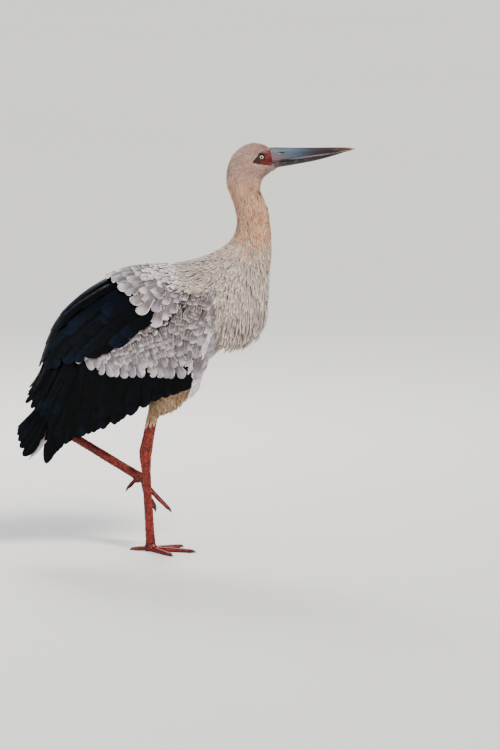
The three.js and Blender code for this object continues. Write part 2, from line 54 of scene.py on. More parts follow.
# %% Units, chance and small helpers
MM = 0.001
MID = -4 * MM
SIDES = {"right": -1, "left": 1}
chance = np.random.default_rng(7)
scene = bpy.context.scene


def smooth_rise(t):
    """0 below t = 0, 1 above t = 1 and an even curve between."""
    t = np.clip(t, 0, 1)
    return t * t * (3 - 2 * t)


def profile(keys):
    """A smooth curve through (place, value) pairs, level beyond its ends."""
    at, value = np.array(keys, float).T
    slope = np.gradient(value, at)

    def curve(x):
        x = np.clip(x, at[0], at[-1])
        i = np.clip(np.searchsorted(at, x) - 1, 0, len(at) - 2)
        gap = at[i + 1] - at[i]
        t = (x - at[i]) / gap
        start = value[i] * (1 + 2 * t) * (1 - t) ** 2 + slope[i] * gap * t * (1 - t) ** 2
        return start + value[i + 1] * t * t * (3 - 2 * t) - slope[i + 1] * gap * t * t * (1 - t)

    return curve


def on_line(points, share):
    """The place at that share of the length of a broken line, for one share or many."""
    points = np.array(points, float)
    steps = np.linalg.norm(np.diff(points, axis=0), axis=1)
    reach = np.concatenate([[0], np.cumsum(steps)]) / steps.sum()
    return np.stack([np.interp(share, reach, points[:, i]) for i in range(points.shape[1])], axis=-1)


def jitter(values, share):
    return values * (1 + chance.normal(0, share, np.shape(values)))


def as_mesh(bm, name="scrap"):
    mesh = bpy.data.meshes.new(name)
    bm.to_mesh(mesh)
    return mesh


def new_object(name, data):
    thing = bpy.data.objects.new(name, data)
    scene.collection.objects.link(thing)
    return thing


def applied(thing):
    """An object's mesh as its modifiers leave it."""
    return bpy.data.meshes.new_from_object(thing.evaluated_get(bpy.context.evaluated_depsgraph_get()))


def show(mesh, materials, replaced=()):
    """Makes a finished mesh a visible piece, in place of the solids it stands for."""
    for material in materials:
        mesh.materials.append(material)
    piece = new_object(mesh.name, mesh)
    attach(piece, "root")
    if replaced:
        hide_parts(*replaced)


# %% [markdown]
# ## Camera and light
# A long lens nine metres away flattens the bird as a wildlife lens does. A broad, warm sun from above and in front
# shows the feathers' relief, and two weak soft lamps keep the black feathers from closing up.

# %% Camera and lamps
PIXEL = 2.44 * MM  # what one pixel of a 500 by 750 picture covers
PICTURE_HEIGHT = 750 * PIXEL
SENSOR = 36
DISTANCE = 9.0
TILT = math.radians(8)
LAMP_AIM = Vector((0.1, 0, 0.6))
camera = new_object("camera", bpy.data.cameras.new("camera"))
scene.camera = camera
aim = Vector((100 * PIXEL, 0, 177 * PIXEL / math.cos(TILT)))
back = Vector((0, -math.cos(TILT), math.sin(TILT)))
camera.location = aim + back * DISTANCE
camera.rotation_euler = (-back).to_track_quat("-Z", "Y").to_euler()
camera.data.sensor_width = SENSOR
camera.data.lens = SENSOR * DISTANCE / PICTURE_HEIGHT
camera.data.clip_end = 300


def lamp(name, kind, energy, colour, way, place=(0, 0, 0), **settings):
    """A lamp that shines the given way."""
    light = bpy.data.lights.new(name, kind)
    for key, value in {"energy": energy, "color": colour, **settings}.items():
        setattr(light, key, value)
    holder = new_object(name, light)
    holder.location = place
    holder.rotation_euler = Vector(way).to_track_quat("-Z", "Y").to_euler()


def soft_lamp(name, place, size, watts, warmth):
    lamp(name, "AREA", watts, warmth, LAMP_AIM - Vector(place), place, shape="DISK", size=size)


lamp("key_sun", "SUN", 2.7, (1.0, 0.94, 0.86), (-0.42, 0.5, -0.76), angle=math.radians(16))
soft_lamp("fill_lamp", (-2.6, -2.4, 1.4), 2.2, 22, (0.88, 0.94, 1.0))
soft_lamp("rim_lamp", (-0.6, 2.4, 2.6), 1.2, 55, (1.0, 0.98, 0.95))
scene.view_settings.look = "AgX - Medium High Contrast"
print("camera at", [round(c, 3) for c in camera.location], "lens", round(camera.data.lens, 1))

# %% [markdown]
# ## Helpers for colour and materials
# Colours are written as sRGB hex values, as a paint chart gives them, and one function makes them linear. Another adds
# a node with its settings and its links in one line. A Finish is a material whose methods each add a node, so that it
# reads from top to bottom. Its x, y and z are a point's place in metres.


# %% Colour and node helpers
def paint(hex_value):
    parts = [int(hex_value[i : i + 2], 16) / 255 for i in (0, 2, 4)]
    return [p / 12.92 if p <= 0.04045 else ((p + 0.055) / 1.055) ** 2.4 for p in parts] + [1.0]


def add(tree, kind, inputs=None, **settings):
    """Adds a node. inputs holds plain values, hex colours, or sockets of other nodes to link."""
    node = tree.nodes.new(kind)
    for key, value in settings.items():
        setattr(node, key, value)
    for key, value in (inputs or {}).items():
        if isinstance(value, bpy.types.NodeSocket):
            tree.links.new(value, node.inputs[key])
        else:
            node.inputs[key].default_value = paint(value) if isinstance(value, str) else value
    return node


class Finish:
    """A material on a Principled shader, whose constant sockets are set by name."""

    def __init__(self, name, **fixed):
        self.material = bpy.data.materials.new(name)
        self.material.use_nodes = True
        self.tree = self.material.node_tree
        self.shader = self.tree.nodes["Principled BSDF"]
        for socket, value in fixed.items():
            self.shader.inputs[socket.replace("_", " ")].default_value = value
        self.place = add(self.tree, "ShaderNodeTexCoord").outputs["Object"]
        self.x, self.y, self.z = add(self.tree, "ShaderNodeSeparateXYZ", {0: self.place}).outputs

    def mix(self, factor, first, second):
        """The colour between two colours."""
        return add(self.tree, "ShaderNodeMix", {0: factor, 6: first, 7: second}, data_type="RGBA").outputs[2]

    def calc(self, operation, *values):
        return add(self.tree, "ShaderNodeMath", dict(enumerate(values)), operation=operation).outputs[0]

    def times(self, first, second):
        return self.calc("MULTIPLY", first, second)

    def less(self, first, second):
        return self.calc("SUBTRACT", first, second)

    def remap(self, value, low, high, to_low=0.0, to_high=1.0):
        """value from low to high becomes to_low to to_high, and stays within them."""
        spread = {"Value": value, "From Min": low, "From Max": high, "To Min": to_low, "To Max": to_high}
        return add(self.tree, "ShaderNodeMapRange", spread, interpolation_type="SMOOTHSTEP").outputs[0]

    def noise(self, scale, detail=2.0, roughness=0.5, vector=None):
        vector = self.place if vector is None else vector
        inputs = {"Vector": vector, "Scale": scale, "Detail": detail, "Roughness": roughness}
        return add(self.tree, "ShaderNodeTexNoise", inputs).outputs["Fac"]

    def cells(self, scale, feature="F1", randomness=1.0):
        """How far a point is from a cell's middle, or from its edge."""
        inputs = {"Vector": self.place, "Scale": scale, "Randomness": randomness}
        return add(self.tree, "ShaderNodeTexVoronoi", inputs, feature=feature).outputs["Distance"]

    def away(self, x, z, wide=1.0, tall=1.0):
        """The squared distance from x and z in the side view, in units that may differ along and up."""
        aside = self.calc("DIVIDE", self.less(self.x, x), wide)
        above = self.calc("DIVIDE", self.less(self.z, z), tall)
        return self.calc("ADD", self.times(aside, aside), self.times(above, above))

    def plume(self):
        """How near a point is to its feather's edge and tip, the feather's random tint and how soiled it is."""
        own = add(self.tree, "ShaderNodeAttribute", attribute_name="plume")
        edge, reach, tint = add(self.tree, "ShaderNodeSeparateColor", {"Color": own.outputs["Color"]}).outputs
        return edge, reach, tint, own.outputs["Alpha"]

    def wear(self, colour, relief=None, depth=0.5 * MM, strength=0.5, invert=False):
        """Gives the shader its colour and, if there is a relief, a bump."""
        self.tree.links.new(colour, self.shader.inputs["Base Color"])
        if relief is not None:
            inputs = {"Height": relief, "Distance": depth, "Strength": strength}
            bump = add(self.tree, "ShaderNodeBump", inputs, invert=invert)
            self.tree.links.new(bump.outputs["Normal"], self.shader.inputs["Normal"])
        return self.material


# %% [markdown]
# ## Sky and floor
# A pale grey sky fills the shadows. The floor is pale and very wide, so it fills the view and throws soft light up
# under the belly.

# %% Sky and floor
world = bpy.data.worlds.new("studio")
scene.world = world
world.use_nodes = True
sky = world.node_tree
height = add(sky, "ShaderNodeSeparateXYZ", {0: add(sky, "ShaderNodeTexCoord").outputs["Generated"]})
fade = add(sky, "ShaderNodeValToRGB", {"Fac": height.outputs["Z"]})
low_sky, high_sky = fade.color_ramp.elements
low_sky.color = (0.88, 0.9, 0.93, 1)
high_sky.position, high_sky.color = 0.3, (0.56, 0.6, 0.66, 1)
sky.links.new(fade.outputs["Color"], sky.nodes["Background"].inputs["Color"])
floor_sheet = bmesh.new()
bmesh.ops.create_grid(floor_sheet, x_segments=1, y_segments=1, size=100)
floor = new_object("floor", as_mesh(floor_sheet, "floor"))
paper = Finish("matt_studio_paper", Roughness=0.9)
grain = add(paper.tree, "ShaderNodeTexNoise", {"Scale": 40.0, "Detail": 3.0}).outputs["Fac"]
floor.data.materials.append(paper.wear(paper.mix(grain, "dcdad6", "e2e0dc")))

# %% [markdown]
# ## The body guide
# The flesh solids have gaps a hair wide between them. Each is swollen a little, so that they overlap, and a voxel
# remesh then draws one surface over the lot. The coarse version of that surface is smoothed and used as a guide: a
# feather asks it for the nearest point and for which way is out.

# %% Join the flesh
TOE_NAMES = ("inner", "middle", "outer", "hind")
FLESH = ["head", "neck_upper", "neck_lower", "trunk"]
for side_name in SIDES:
    FLESH += [f"leg_{side_name}_{part}" for part in ("thigh", "shank", "tarsus")]
    FLESH += [f"foot_{side_name}_sole"] + [f"foot_{side_name}_toe_{toe}" for toe in TOE_NAMES]
MANTLES = [f"wing_{side_name}_mantle" for side_name in SIDES]
SWELL = 0.5 * MM


def joined_solids(names):
    whole = bmesh.new()
    for name in names:
        part = bmesh.new()
        part.from_mesh(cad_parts[name].data)
        bmesh.ops.remove_doubles(part, verts=part.verts, dist=0.01 * MM)
        part.normal_update()
        for vert in part.verts:
            vert.co += vert.normal * SWELL
        whole.from_mesh(as_mesh(part))
    return whole


def remeshed(bm, voxel, rounds):
    """One smooth closed surface over the solids in bm, as a new mesh."""
    flesh = new_object("flesh", as_mesh(bm))
    remesh = flesh.modifiers.new("remesh", "REMESH")
    remesh.mode, remesh.voxel_size = "VOXEL", voxel
    relax = flesh.modifiers.new("relax", "SMOOTH")
    relax.factor, relax.iterations = 0.5, rounds
    surface = applied(flesh)
    bpy.data.objects.remove(flesh)
    return surface


class Guide:
    """A surface to lay feathers on. Its normals are averaged, so that rows of feathers lie evenly."""

    def __init__(self, mesh):
        surface = bmesh.new()
        surface.from_mesh(mesh)
        surface.normal_update()
        self.tree = BVHTree.FromBMesh(surface)
        self.out = [sum((v.normal for v in face.verts), Vector()).normalized() for face in surface.faces]

    def at(self, place):
        spot, _, index, _ = self.tree.find_nearest(place)
        return spot, self.out[index]


body_guide = Guide(remeshed(joined_solids(FLESH + MANTLES), 4 * MM, 6))
print("body guide faces:", len(body_guide.out))

# %% [markdown]
# ## One skin
# A finer remesh of the same solids becomes the skin. It is drawn inwards by the depth of the coat, which is nothing on
# the bare legs and most on the breast, but never past a third of the way through a thin part. Where feathers will hide
# it, its mesh is thinned. Round each eye it is pushed into lids: a low rim that hugs the eyeball and leaves an opening.

# %% Draw in the skin
EYE = Vector((272 * MM, 17.4 * MM, 970.5 * MM))  # its y is counted from the middle plane
EYE_RADIUS = 7.6 * MM
LID_OPENING = 5.4 * MM
LID_REACH = 13 * MM


def coat_depth(points):
    """How deep the plumage is over each point, in metres."""
    x, _, z = points.T
    depth = 2 + 3.5 * smooth_rise((900 * MM - z) / (160 * MM)) + 2.5 * smooth_rise((760 * MM - z) / (120 * MM))
    face = np.hypot(x - 284 * MM, (z - 968 * MM) * 1.3)
    depth = depth * smooth_rise((face - 20 * MM) / (16 * MM))
    bare = smooth_rise((395 * MM - z) / (60 * MM))
    return depth * (1 - bare) * MM


def thickness(mesh, points, normals):
    """How thick the flesh is behind each point."""
    surface = bmesh.new()
    surface.from_mesh(mesh)
    tree = BVHTree.FromBMesh(surface)
    through = []
    for point, normal in zip(points, normals):
        reach = tree.ray_cast(Vector(point - normal * 0.2 * MM), Vector(-normal))[3]
        through.append(reach or 1.0)
    return np.array(through)


def shape_lids(points):
    """Moves the skin round each eye into lids."""
    side = np.sign(points[:, 1] - MID)
    out = np.abs(points[:, 1] - MID)
    r = np.hypot(points[:, 0] - EYE.x, (points[:, 2] - EYE.z) * 1.12)
    near = (out > 8 * MM) & (r < LID_REACH)
    ball = EYE.y + np.sqrt(np.maximum((EYE_RADIUS + 0.3 * MM) ** 2 - r**2, 0))
    rim = ball + 1.0 * MM
    crease = -0.7 * MM * np.exp(-(((r - 10.2 * MM) / (1.0 * MM)) ** 2))
    fade = 1 - smooth_rise((r - 7.2 * MM) / (3.2 * MM))
    out = np.where(near & (r > LID_OPENING), out + (np.maximum(rim, out) - out) * fade + crease, out)
    out = np.where(near & (r <= LID_OPENING), np.minimum(out, ball - 1.6 * MM), out)
    points[:, 1] = MID + side * out
    return points


def vectors(items, field):
    values = np.empty(len(items) * 3)
    items.foreach_get(field, values)
    return values.reshape(-1, 3)


skin_mesh = remeshed(joined_solids(FLESH), 1.6 * MM, 3)
dense = vectors(skin_mesh.vertices, "co")
dense_out = vectors(skin_mesh.vertex_normals, "vector")
dense_depth = np.minimum(coat_depth(dense), 0.35 * thickness(skin_mesh, dense, dense_out))
dense = shape_lids(dense - dense_out * (dense_depth + SWELL)[:, None])
dense[:, 2] = np.maximum(dense[:, 2], 0)
skin_mesh.vertices.foreach_set("co", dense.ravel())
skin = new_object("skin", skin_mesh)
hidden = skin.vertex_groups.new(name="hidden")
for index in np.flatnonzero(dense_depth > 1.9 * MM):
    hidden.add([int(index)], 1.0, "REPLACE")
thin = skin.modifiers.new("thin", "DECIMATE")
thin.ratio, thin.vertex_group = 0.3, "hidden"
skin_mesh = applied(skin)
skin.modifiers.clear()
skin.data = skin_mesh
print("skin triangles:", sum(len(f.vertices) - 2 for f in skin_mesh.polygons))

# %% [markdown]
# ## One feather
# A feather is a thin blade: a shaft down its middle and a vane on each side whose barbs slant towards the tip. The
# blade is a bmesh grid, drawn in at its ends, bowed across and closed below by an extruded copy whose rim is welded to
# the first, so it is a solid lens. Each row of the grid follows a barb, so a nick in the edge lies along the barbs as
# a real split does. The blade is one unit long and its half-width is one unit; each real feather scales it.


# %% Feather blades
def blade(rows, columns, outline, bow=0.28, slant=0.2, shaft=0.05, thick=0.10, nicks=()):
    """A blade as arrays: x across, y along, z up, and its faces. outline gives its half-width along its length."""
    bm = bmesh.new()
    bmesh.ops.create_grid(bm, x_segments=columns, y_segments=rows, size=1)
    across = bm.verts.layers.float.new("across")
    along = bm.verts.layers.float.new("along")
    for vert in bm.verts:
        vert[across], vert[along] = vert.co.x, 1 - ((1 - vert.co.y) / 2) ** 1.5
    sheet = list(bm.verts) + list(bm.edges) + list(bm.faces)
    below = bmesh.ops.extrude_face_region(bm, geom=sheet, use_keep_orig=True)["geom"]
    lower = {item for item in below if isinstance(item, bmesh.types.BMVert)}
    for vert in bm.verts:
        x, y = vert[across], vert[along]
        half = outline(y)
        for place, side, size in nicks:
            if x * side > 0:
                half *= 1 - size * max(0, 1 - abs(y - place) * rows)
        level = -bow * x * x * half
        if vert in lower:
            level -= thick * (1 - x * x) * min(1, 6 * y, 6 * (1 - y))
        else:
            level += shaft * max(0, 1 - 4 * abs(x))
        vert.co = (x * half, y + slant * abs(x) * half * min(1, 1.3 * (1 - y)), level)
    bmesh.ops.remove_doubles(bm, verts=bm.verts, dist=1e-4)
    bmesh.ops.dissolve_degenerate(bm, edges=bm.edges, dist=1e-5)
    bmesh.ops.recalc_face_normals(bm, faces=bm.faces)
    bm.verts.index_update()
    shape = {
        "co": np.array([vert.co for vert in bm.verts]),
        "across": np.array([vert[across] for vert in bm.verts]),
        "along": np.array([vert[along] for vert in bm.verts]),
        "corners": np.array([vert.index for face in bm.faces for vert in face.verts]),
        "sizes": np.array([len(face.verts) for face in bm.faces]),
    }
    bm.free()
    return shape


def tapered(y, root, broad_at, taper_at, power, fullness):
    """A half-width that swells from root to 1 at broad_at and closes to a tip from taper_at on."""
    swell = root + (1 - root) * math.sin(min(1, y / broad_at) * math.pi / 2)
    return max(0.0, swell * (1 - max(0, (y - taper_at) / (1 - taper_at)) ** power) ** fullness)


def rounded(y):
    """The outline of a broad feather with a round tip."""
    return tapered(y, 0.3, 0.5, 0.72, 2.4, 0.5)


def pointed(y):
    """The outline of a long feather that narrows to a blunt point."""
    return tapered(y, 0.35, 0.35, 0.45, 1.8, 0.7)


def plume(y):
    """The outline of a soft, narrow body plume."""
    return max(0.0, math.sin(math.pi * min(1, 0.16 + 0.84 * y)) ** 0.8)


def wisp(y):
    """The outline of a long breast plume, which thins to a fine point."""
    return max(0.0, math.sin(math.pi * min(1, 0.2 + 0.3 * y + 0.5 * y**2.2)) ** 0.9)


def some_nicks(count):
    return [(chance.uniform(0.35, 0.95), chance.choice([-1, 1]), chance.uniform(0.25, 0.75)) for _ in range(count)]


BROAD = [blade(16, 6, rounded, nicks=some_nicks(3)) for _ in range(5)]
LONG = [blade(24, 6, pointed, bow=0.22, nicks=some_nicks(4)) for _ in range(5)]
SMALL = [blade(6, 4, rounded, nicks=some_nicks(1)) for _ in range(4)]
SOFT = [blade(5, 2, plume, thick=0.16, shaft=0.03, nicks=some_nicks(1)) for _ in range(3)]
PLUME = [blade(6, 2, wisp, thick=0.16, shaft=0.03, nicks=some_nicks(2)) for _ in range(3)]
TUFT = [blade(2, 2, plume, thick=0.2, shaft=0.02)]
for shapes in (BROAD, LONG, SMALL, SOFT, PLUME, TUFT):
    print("a set of", len(shapes), "blades of", int((shapes[0]["sizes"] - 2).sum()), "triangles")

# %% [markdown]
# ## Laying feathers
# lay() walks each feather's shaft over a guide from root to tip. The root is sunk in the coat and the tip stands off
# it, so that feathers shingle like roof tiles. cling says how closely the shaft follows the surface: a value under one
# lets the tip hang free. grow() then copies a blade on to every shaft at once with arrays, and joins the lot as one
# mesh, because thousands of separate objects would be slow and would not export. On the map that the bake uses, each
# feather is a small patch at its root's place on an unwrap of the skin, along the bird's bent axis and round it.

# %% Lay and grow
AXIS = np.array([
    (300, 972), (262, 975), (225, 962), (210, 925), (215, 880), (240, 820), (245, 760), (190, 670), (90, 600),
    (-20, 540), (-130, 470), (-240, 380), (-330, 300),
]) * MM
PATCH = 0.003  # the width of a feather's patch on the bake's map


def lay(guide, roots, ways, lengths, steps=5, sink=3.0, lift=2.0, cling=1.0, sag=0.0):
    """Shafts as arrays of points and of the way up at each point. sink and lift are in millimetres."""
    count = len(roots)
    shafts, ups = np.empty((2, count, steps + 1, 3))
    sink, lift = np.broadcast_to(sink, count) * MM, np.broadcast_to(lift, count) * MM
    for i in range(count):
        spot, up = guide.at(Vector(roots[i]))
        heading = Vector(ways[i])
        heading = (heading - up * heading.dot(up)).normalized()
        step = lengths[i] / steps
        for k in range(steps + 1):
            t = k / steps
            shafts[i, k] = spot + up * (lift[i] * t - sink[i] * (1 - t) ** 1.5)
            ups[i, k] = up
            ahead = spot + heading * step
            near, near_up = guide.at(ahead)
            onward = ahead.lerp(near, cling)
            heading = (onward - spot).normalized()
            heading.z -= sag / steps
            heading.normalize()
            up = up.lerp(near_up, cling)
            up = (up - heading * up.dot(heading)).normalized()
            spot = onward
    return shafts, ups


def unwrap(points):
    """Where each point lies along and round the bird's axis, both from 0 to 1."""
    flat = points[:, [0, 2]]
    best = np.full(len(points), np.inf)
    along = np.zeros(len(points))
    height = np.zeros(len(points))
    for i in range(len(AXIS) - 1):
        start, run = AXIS[i], AXIS[i + 1] - AXIS[i]
        t = np.clip(((flat - start) @ run) / (run @ run), 0, 1)
        away = flat - start - t[:, None] * run
        distance = np.linalg.norm(away, axis=1)
        better = distance < best
        best = np.where(better, distance, best)
        along = np.where(better, (i + t) / (len(AXIS) - 1), along)
        height = np.where(better, away @ np.array([-run[1], run[0]]) / np.linalg.norm(run), height)
    turn = np.arctan2(points[:, 1] - MID, height)
    return np.stack([along, turn / (2 * math.pi) + 0.5], axis=1)


def unit(ways):
    return ways / (np.linalg.norm(ways, axis=2, keepdims=True) + 1e-12)


def grow(name, shapes, shafts, ups, widths, material, soil=0.0, roll=0.0, replaced=()):
    """Copies blades on to the shafts as one joined piece."""
    count = len(shafts)
    steps = shafts.shape[1] - 1
    tint = chance.random(count)
    soil = np.broadcast_to(soil, count) * np.ones(count)
    roll = np.broadcast_to(roll, count) * np.ones(count) + chance.normal(0, 0.05, count)
    span = np.linalg.norm(np.diff(shafts, axis=1), axis=2).sum(axis=1)
    spots = unwrap(shafts[:, 0])
    spots = (spots - spots.min(axis=0)) / np.maximum(np.ptp(spots, axis=0), 1e-6) * (1 - 2 * PATCH) + PATCH
    parts = {"co": [], "corners": [], "sizes": [], "plume": [], "vane": [], "bake": []}
    offset = 0
    kind = chance.integers(len(shapes), size=count)
    for number, shape in enumerate(shapes):
        mine = np.flatnonzero(kind == number)
        if not len(mine):
            continue
        # Each vertex lies on one step of its shaft, which gives its centre and its frame there.
        y = np.clip(shape["co"][:, 1], 0, None) * steps
        k = np.clip(y.astype(int), 0, steps - 1)
        f = (y - k)[None, :, None]
        shaft, up = shafts[mine], ups[mine]
        bend = np.clip(f, 0, 1)
        run = shaft[:, k + 1] - shaft[:, k]
        across = unit(np.cross(run, up[:, k] * (1 - bend) + up[:, k + 1] * bend))
        level = unit(np.cross(across, run))
        turn = roll[mine][:, None, None] * (1 - 0.5 * bend)
        across, level = across * np.cos(turn) + level * np.sin(turn), level * np.cos(turn) - across * np.sin(turn)
        x, _, z = shape["co"].T[:, None, :, None] * widths[mine][:, None, None] / 2
        co = shaft[:, k] * (1 - f) + shaft[:, k + 1] * f + across * x + level * z
        first = offset + np.arange(len(mine)) * len(shape["co"])
        offset += co.shape[0] * co.shape[1]
        # The plume attribute, the Vane map in tenths of a metre, and the bake's map.
        own = np.broadcast_arrays(np.abs(shape["across"]), shape["along"], tint[mine][:, None], soil[mine][:, None])
        vane = shape["across"] * widths[mine][:, None] / 2, shape["along"] * span[mine][:, None]
        local = np.stack([shape["across"] / 2, shape["along"] - 0.5], axis=1)
        parts["co"].append(co.reshape(-1, 3))
        parts["corners"].append((shape["corners"][None, :] + first[:, None]).ravel())
        parts["sizes"].append(np.tile(shape["sizes"], len(mine)))
        parts["plume"].append(np.stack(own, axis=2).reshape(-1, 4))
        parts["vane"].append(np.stack(vane, axis=2).reshape(-1, 2) * 10)
        parts["bake"].append((spots[mine][:, None, :] + local[None] * PATCH).reshape(-1, 2))
    joined = {key: np.concatenate(value) for key, value in parts.items()}
    show(feather_mesh(name, joined), [material], replaced)


def feather_mesh(name, joined):
    mesh = bpy.data.meshes.new(name)
    co, corners, sizes = joined["co"], joined["corners"], joined["sizes"]
    mesh.vertices.add(len(co))
    mesh.vertices.foreach_set("co", co.ravel())
    mesh.loops.add(len(corners))
    mesh.loops.foreach_set("vertex_index", corners)
    mesh.polygons.add(len(sizes))
    mesh.polygons.foreach_set("loop_start", np.concatenate([[0], np.cumsum(sizes)[:-1]]))
    mesh.update(calc_edges=True)
    mesh.shade_smooth()
    mesh.set_sharp_from_angle(angle=math.radians(70))
    mesh.attributes.new("plume", "FLOAT_COLOR", "POINT").data.foreach_set("color", joined["plume"].ravel())
    for layer_name, key in (("OFBake", "bake"), ("Vane", "vane")):
        mesh.uv_layers.new(name=layer_name).data.foreach_set("uv", joined[key][corners].ravel())
    print(name, "triangles:", int((sizes - 2).sum()))
    return mesh


# %% [markdown]
# ## Plumage finishes
# A feather is keratin, matt and a little sheeny, made of hundreds of barbs that run out from the shaft and on towards
# the tip. The pattern follows each feather's own Vane map, and the plume attribute gives how near the edge and the tip
# a point is, a random tint for each feather and how soiled it is. Real barbs are about 0.4 mm apart, too fine to see
# from here, so they are drawn about 1.6 mm apart.

# %% Plumage
BARBS = 62.0  # in a tenth of a metre


def plumage(name, pale, deep, dirt_and_shade, shaft, stripe=0.25, edge_colour=None, root_shade=0.35, **fixed):
    finish = Finish(name, **fixed)
    edge, reach, tint, soil = finish.plume()
    across, along, _ = add(
        finish.tree, "ShaderNodeSeparateXYZ", {0: add(finish.tree, "ShaderNodeUVMap", uv_map="Vane").outputs["UV"]}
    ).outputs
    out = finish.calc("ABSOLUTE", across)
    barb = finish.times(finish.less(along, out), BARBS)
    lines = {0: barb, 1: finish.times(out, 6.0), 2: finish.times(tint, 37.0)}
    barbs = finish.noise(1.0, 2.0, vector=add(finish.tree, "ShaderNodeCombineXYZ", lines).outputs[0])
    mottle = finish.noise(38.0, 6.0, 0.7)
    colour = finish.mix(finish.remap(tint, 0.1, 0.9), pale, deep)
    # The dark tint stands for real soil in the mottling and for painted shade at the root.
    colour = finish.mix(finish.times(soil, finish.remap(mottle, 0.38, 0.62)), colour, dirt_and_shade)
    colour = finish.mix(finish.remap(barbs, 0.62, 0.42, 0.0, stripe), colour, dirt_and_shade)
    # Towards the root, where the next feather lies over it, the dark tint is mixed in as painted shade, as much as
    # root_shade says.
    colour = finish.mix(finish.remap(reach, 0.93, 0.68, 0.0, root_shade), colour, dirt_and_shade)
    # The pale rim is partly the feather's pale fringe and partly painted light shining through its thin edge.
    if edge_colour:
        colour = finish.mix(finish.remap(edge, 0.72, 1.0, 0.0, 0.6), colour, edge_colour)
    quill = finish.times(finish.remap(edge, 0.10, 0.02), finish.remap(reach, 0.95, 0.7, 0.0, 0.8))
    return finish.wear(finish.mix(quill, colour, shaft), barbs, strength=0.45)


MATT = {"Roughness": 0.85, "Sheen_Weight": 0.2}
white_feather = plumage(
    "white_feather_keratin", "ede6e5", "d2c9cd", "7a6d6b", "bbaea4",
    Roughness=0.82, Sheen_Weight=0.25, Sheen_Roughness=0.5,
)
# The coverts and white scapulars are a darker, cooler grey than the other white feathers: painted shade with the blue
# cast of skylight. Their brown mottling is real soil.
covert_feather = plumage(
    "dirt_and_shade_covert_keratin", "d1cacc", "a29ca6", "544842", "97898a", edge_colour="e2dcde", root_shade=0.8,
    Roughness=0.8, Sheen_Weight=0.2,
)
# The black feathers' deep tint is a dark blue, a painted blue sheen that each feather takes in a random amount.
black_feather = plumage(
    "black_feather_melanin", "07090c", "101e31", "030405", "07090c", stripe=0.7, root_shade=0.6,
    Roughness=0.42, Specular_IOR_Level=0.14,
)
tan_feather = plumage("earth_stained_plume", "d9c3a6", "bb9a76", "7f5f42", "a98b68", **MATT)
neck_feather = plumage(
    "buff_neck_plume", "efd2b7", "d2a788", "8a5e44", "b98f73", stripe=0.3, root_shade=0.4, **MATT
)
breast_feather = plumage(
    "loose_breast_plume", "f3e6da", "d2c3b8", "75675f", "c4b3a4", stripe=0.35, root_shade=0.55, **MATT
)
head_feather = plumage(
    "fine_head_plume", "dac1b5", "b89587", "7b584c", "ad8f80", stripe=0.25, root_shade=0.45, **MATT
)

# %% [markdown]
# ## The folded wing
# Each folded wing is a curved sheet that slopes down to the rear at 34 degrees. It is described by two numbers: a, the
# way along it from the shoulder, and v, which is 1 at the ridge over the back, 0 where the wing is widest and -1 at the
# lower hem. The wing guide is a grid bent by that rule.

# %% Wing guides
SLOPE = math.radians(34)
SHOULDER = (150, 620)
CREST_B = 6
ridge_b = profile([
    (-90, 20), (-30, 68), (0, 95), (55, 141), (130, 181), (200, 190), (270, 185), (343, 163), (392, 131), (440, 92),
    (620, 46),
])
hem_b = profile([
    (-90, -4), (0, -47), (46, -77), (90, -108), (141, -138), (258, -119), (371, -110), (446, -94), (620, -104),
])
flank_half = profile([
    (-90, 60), (-30, 77), (0, 86), (60, 100), (150, 106), (240, 102), (340, 86), (430, 66), (500, 54), (620, 44),
])
hem_tuck = profile([(-90, 0.26), (60, 0.31), (140, 0.36), (260, 0.24), (400, 0.16), (620, 0.14)])


def flank_point(a, v, side):
    """The wing's surface at a and v, in metres, for arrays of both."""
    a, v = np.asarray(a, float), np.asarray(v, float)
    half = flank_half(a)
    quarter = np.clip(v, 0, 1) * math.pi / 2
    b = np.where(v > 0, CREST_B + (ridge_b(a) - CREST_B) * np.sin(quarter), CREST_B + v * (CREST_B - hem_b(a)))
    y = np.where(v > 0, half * np.cos(quarter), half * (1 - hem_tuck(a) * v * v))
    x = SHOULDER[0] - a * math.cos(SLOPE) - b * math.sin(SLOPE)
    z = SHOULDER[1] - a * math.sin(SLOPE) + b * math.cos(SLOPE)
    return np.stack([x * MM, MID + side * y * MM, z * MM], axis=-1)


def on_flank(points):
    """Side-view points in millimetres as (a, v)."""
    dx, dz = np.array(points, float).T - np.array(SHOULDER)[:, None]
    a = -dx * math.cos(SLOPE) - dz * math.sin(SLOPE)
    b = -dx * math.sin(SLOPE) + dz * math.cos(SLOPE) - CREST_B
    above = np.arcsin(np.clip(b / np.maximum(ridge_b(a) - CREST_B, 1), -1, 1)) / (math.pi / 2)
    return np.stack([a, np.where(b < 0, b / (CREST_B - hem_b(a)), above)], axis=-1)


def bent_sheet(columns, rows, place):
    """A bmesh grid whose points go where place says, for arrays of u and w from 0 to 1."""
    sheet = bmesh.new()
    bmesh.ops.create_grid(sheet, x_segments=columns, y_segments=rows, size=0.5)
    flat = np.array([vert.co for vert in sheet.verts])
    for vert, spot in zip(sheet.verts, place(flat[:, 0] + 0.5, flat[:, 1] + 0.5)):
        vert.co = spot
    sheet.normal_update()
    return sheet


wing_guides = {}
for side_name, side in SIDES.items():
    sheet = bent_sheet(90, 60, lambda u, w: flank_point(-110 + 760 * u, -1.5 + 2.5 * w, side))
    flank = Vector((0, MID + side * 0.1, 0.5))
    middle = min(sheet.faces, key=lambda face: (face.calc_center_median() - flank).length)
    if middle.normal.y * side < 0:
        bmesh.ops.reverse_faces(sheet, faces=sheet.faces)
    wing_guides[side_name] = Guide(as_mesh(sheet))

# %% [markdown]
# Each tract of the wing lies between two lines, low and high, given from front to rear in the side view. Feathers are
# placed in rows by their tips, which lie on a line a set share of the way from low to high. The hem carries the first
# few feathers of the leading edge, and the tertials are the innermost quills, which droop over the root of the tail. A
# thin hide lies under each tract, so no daylight shows between its feathers.

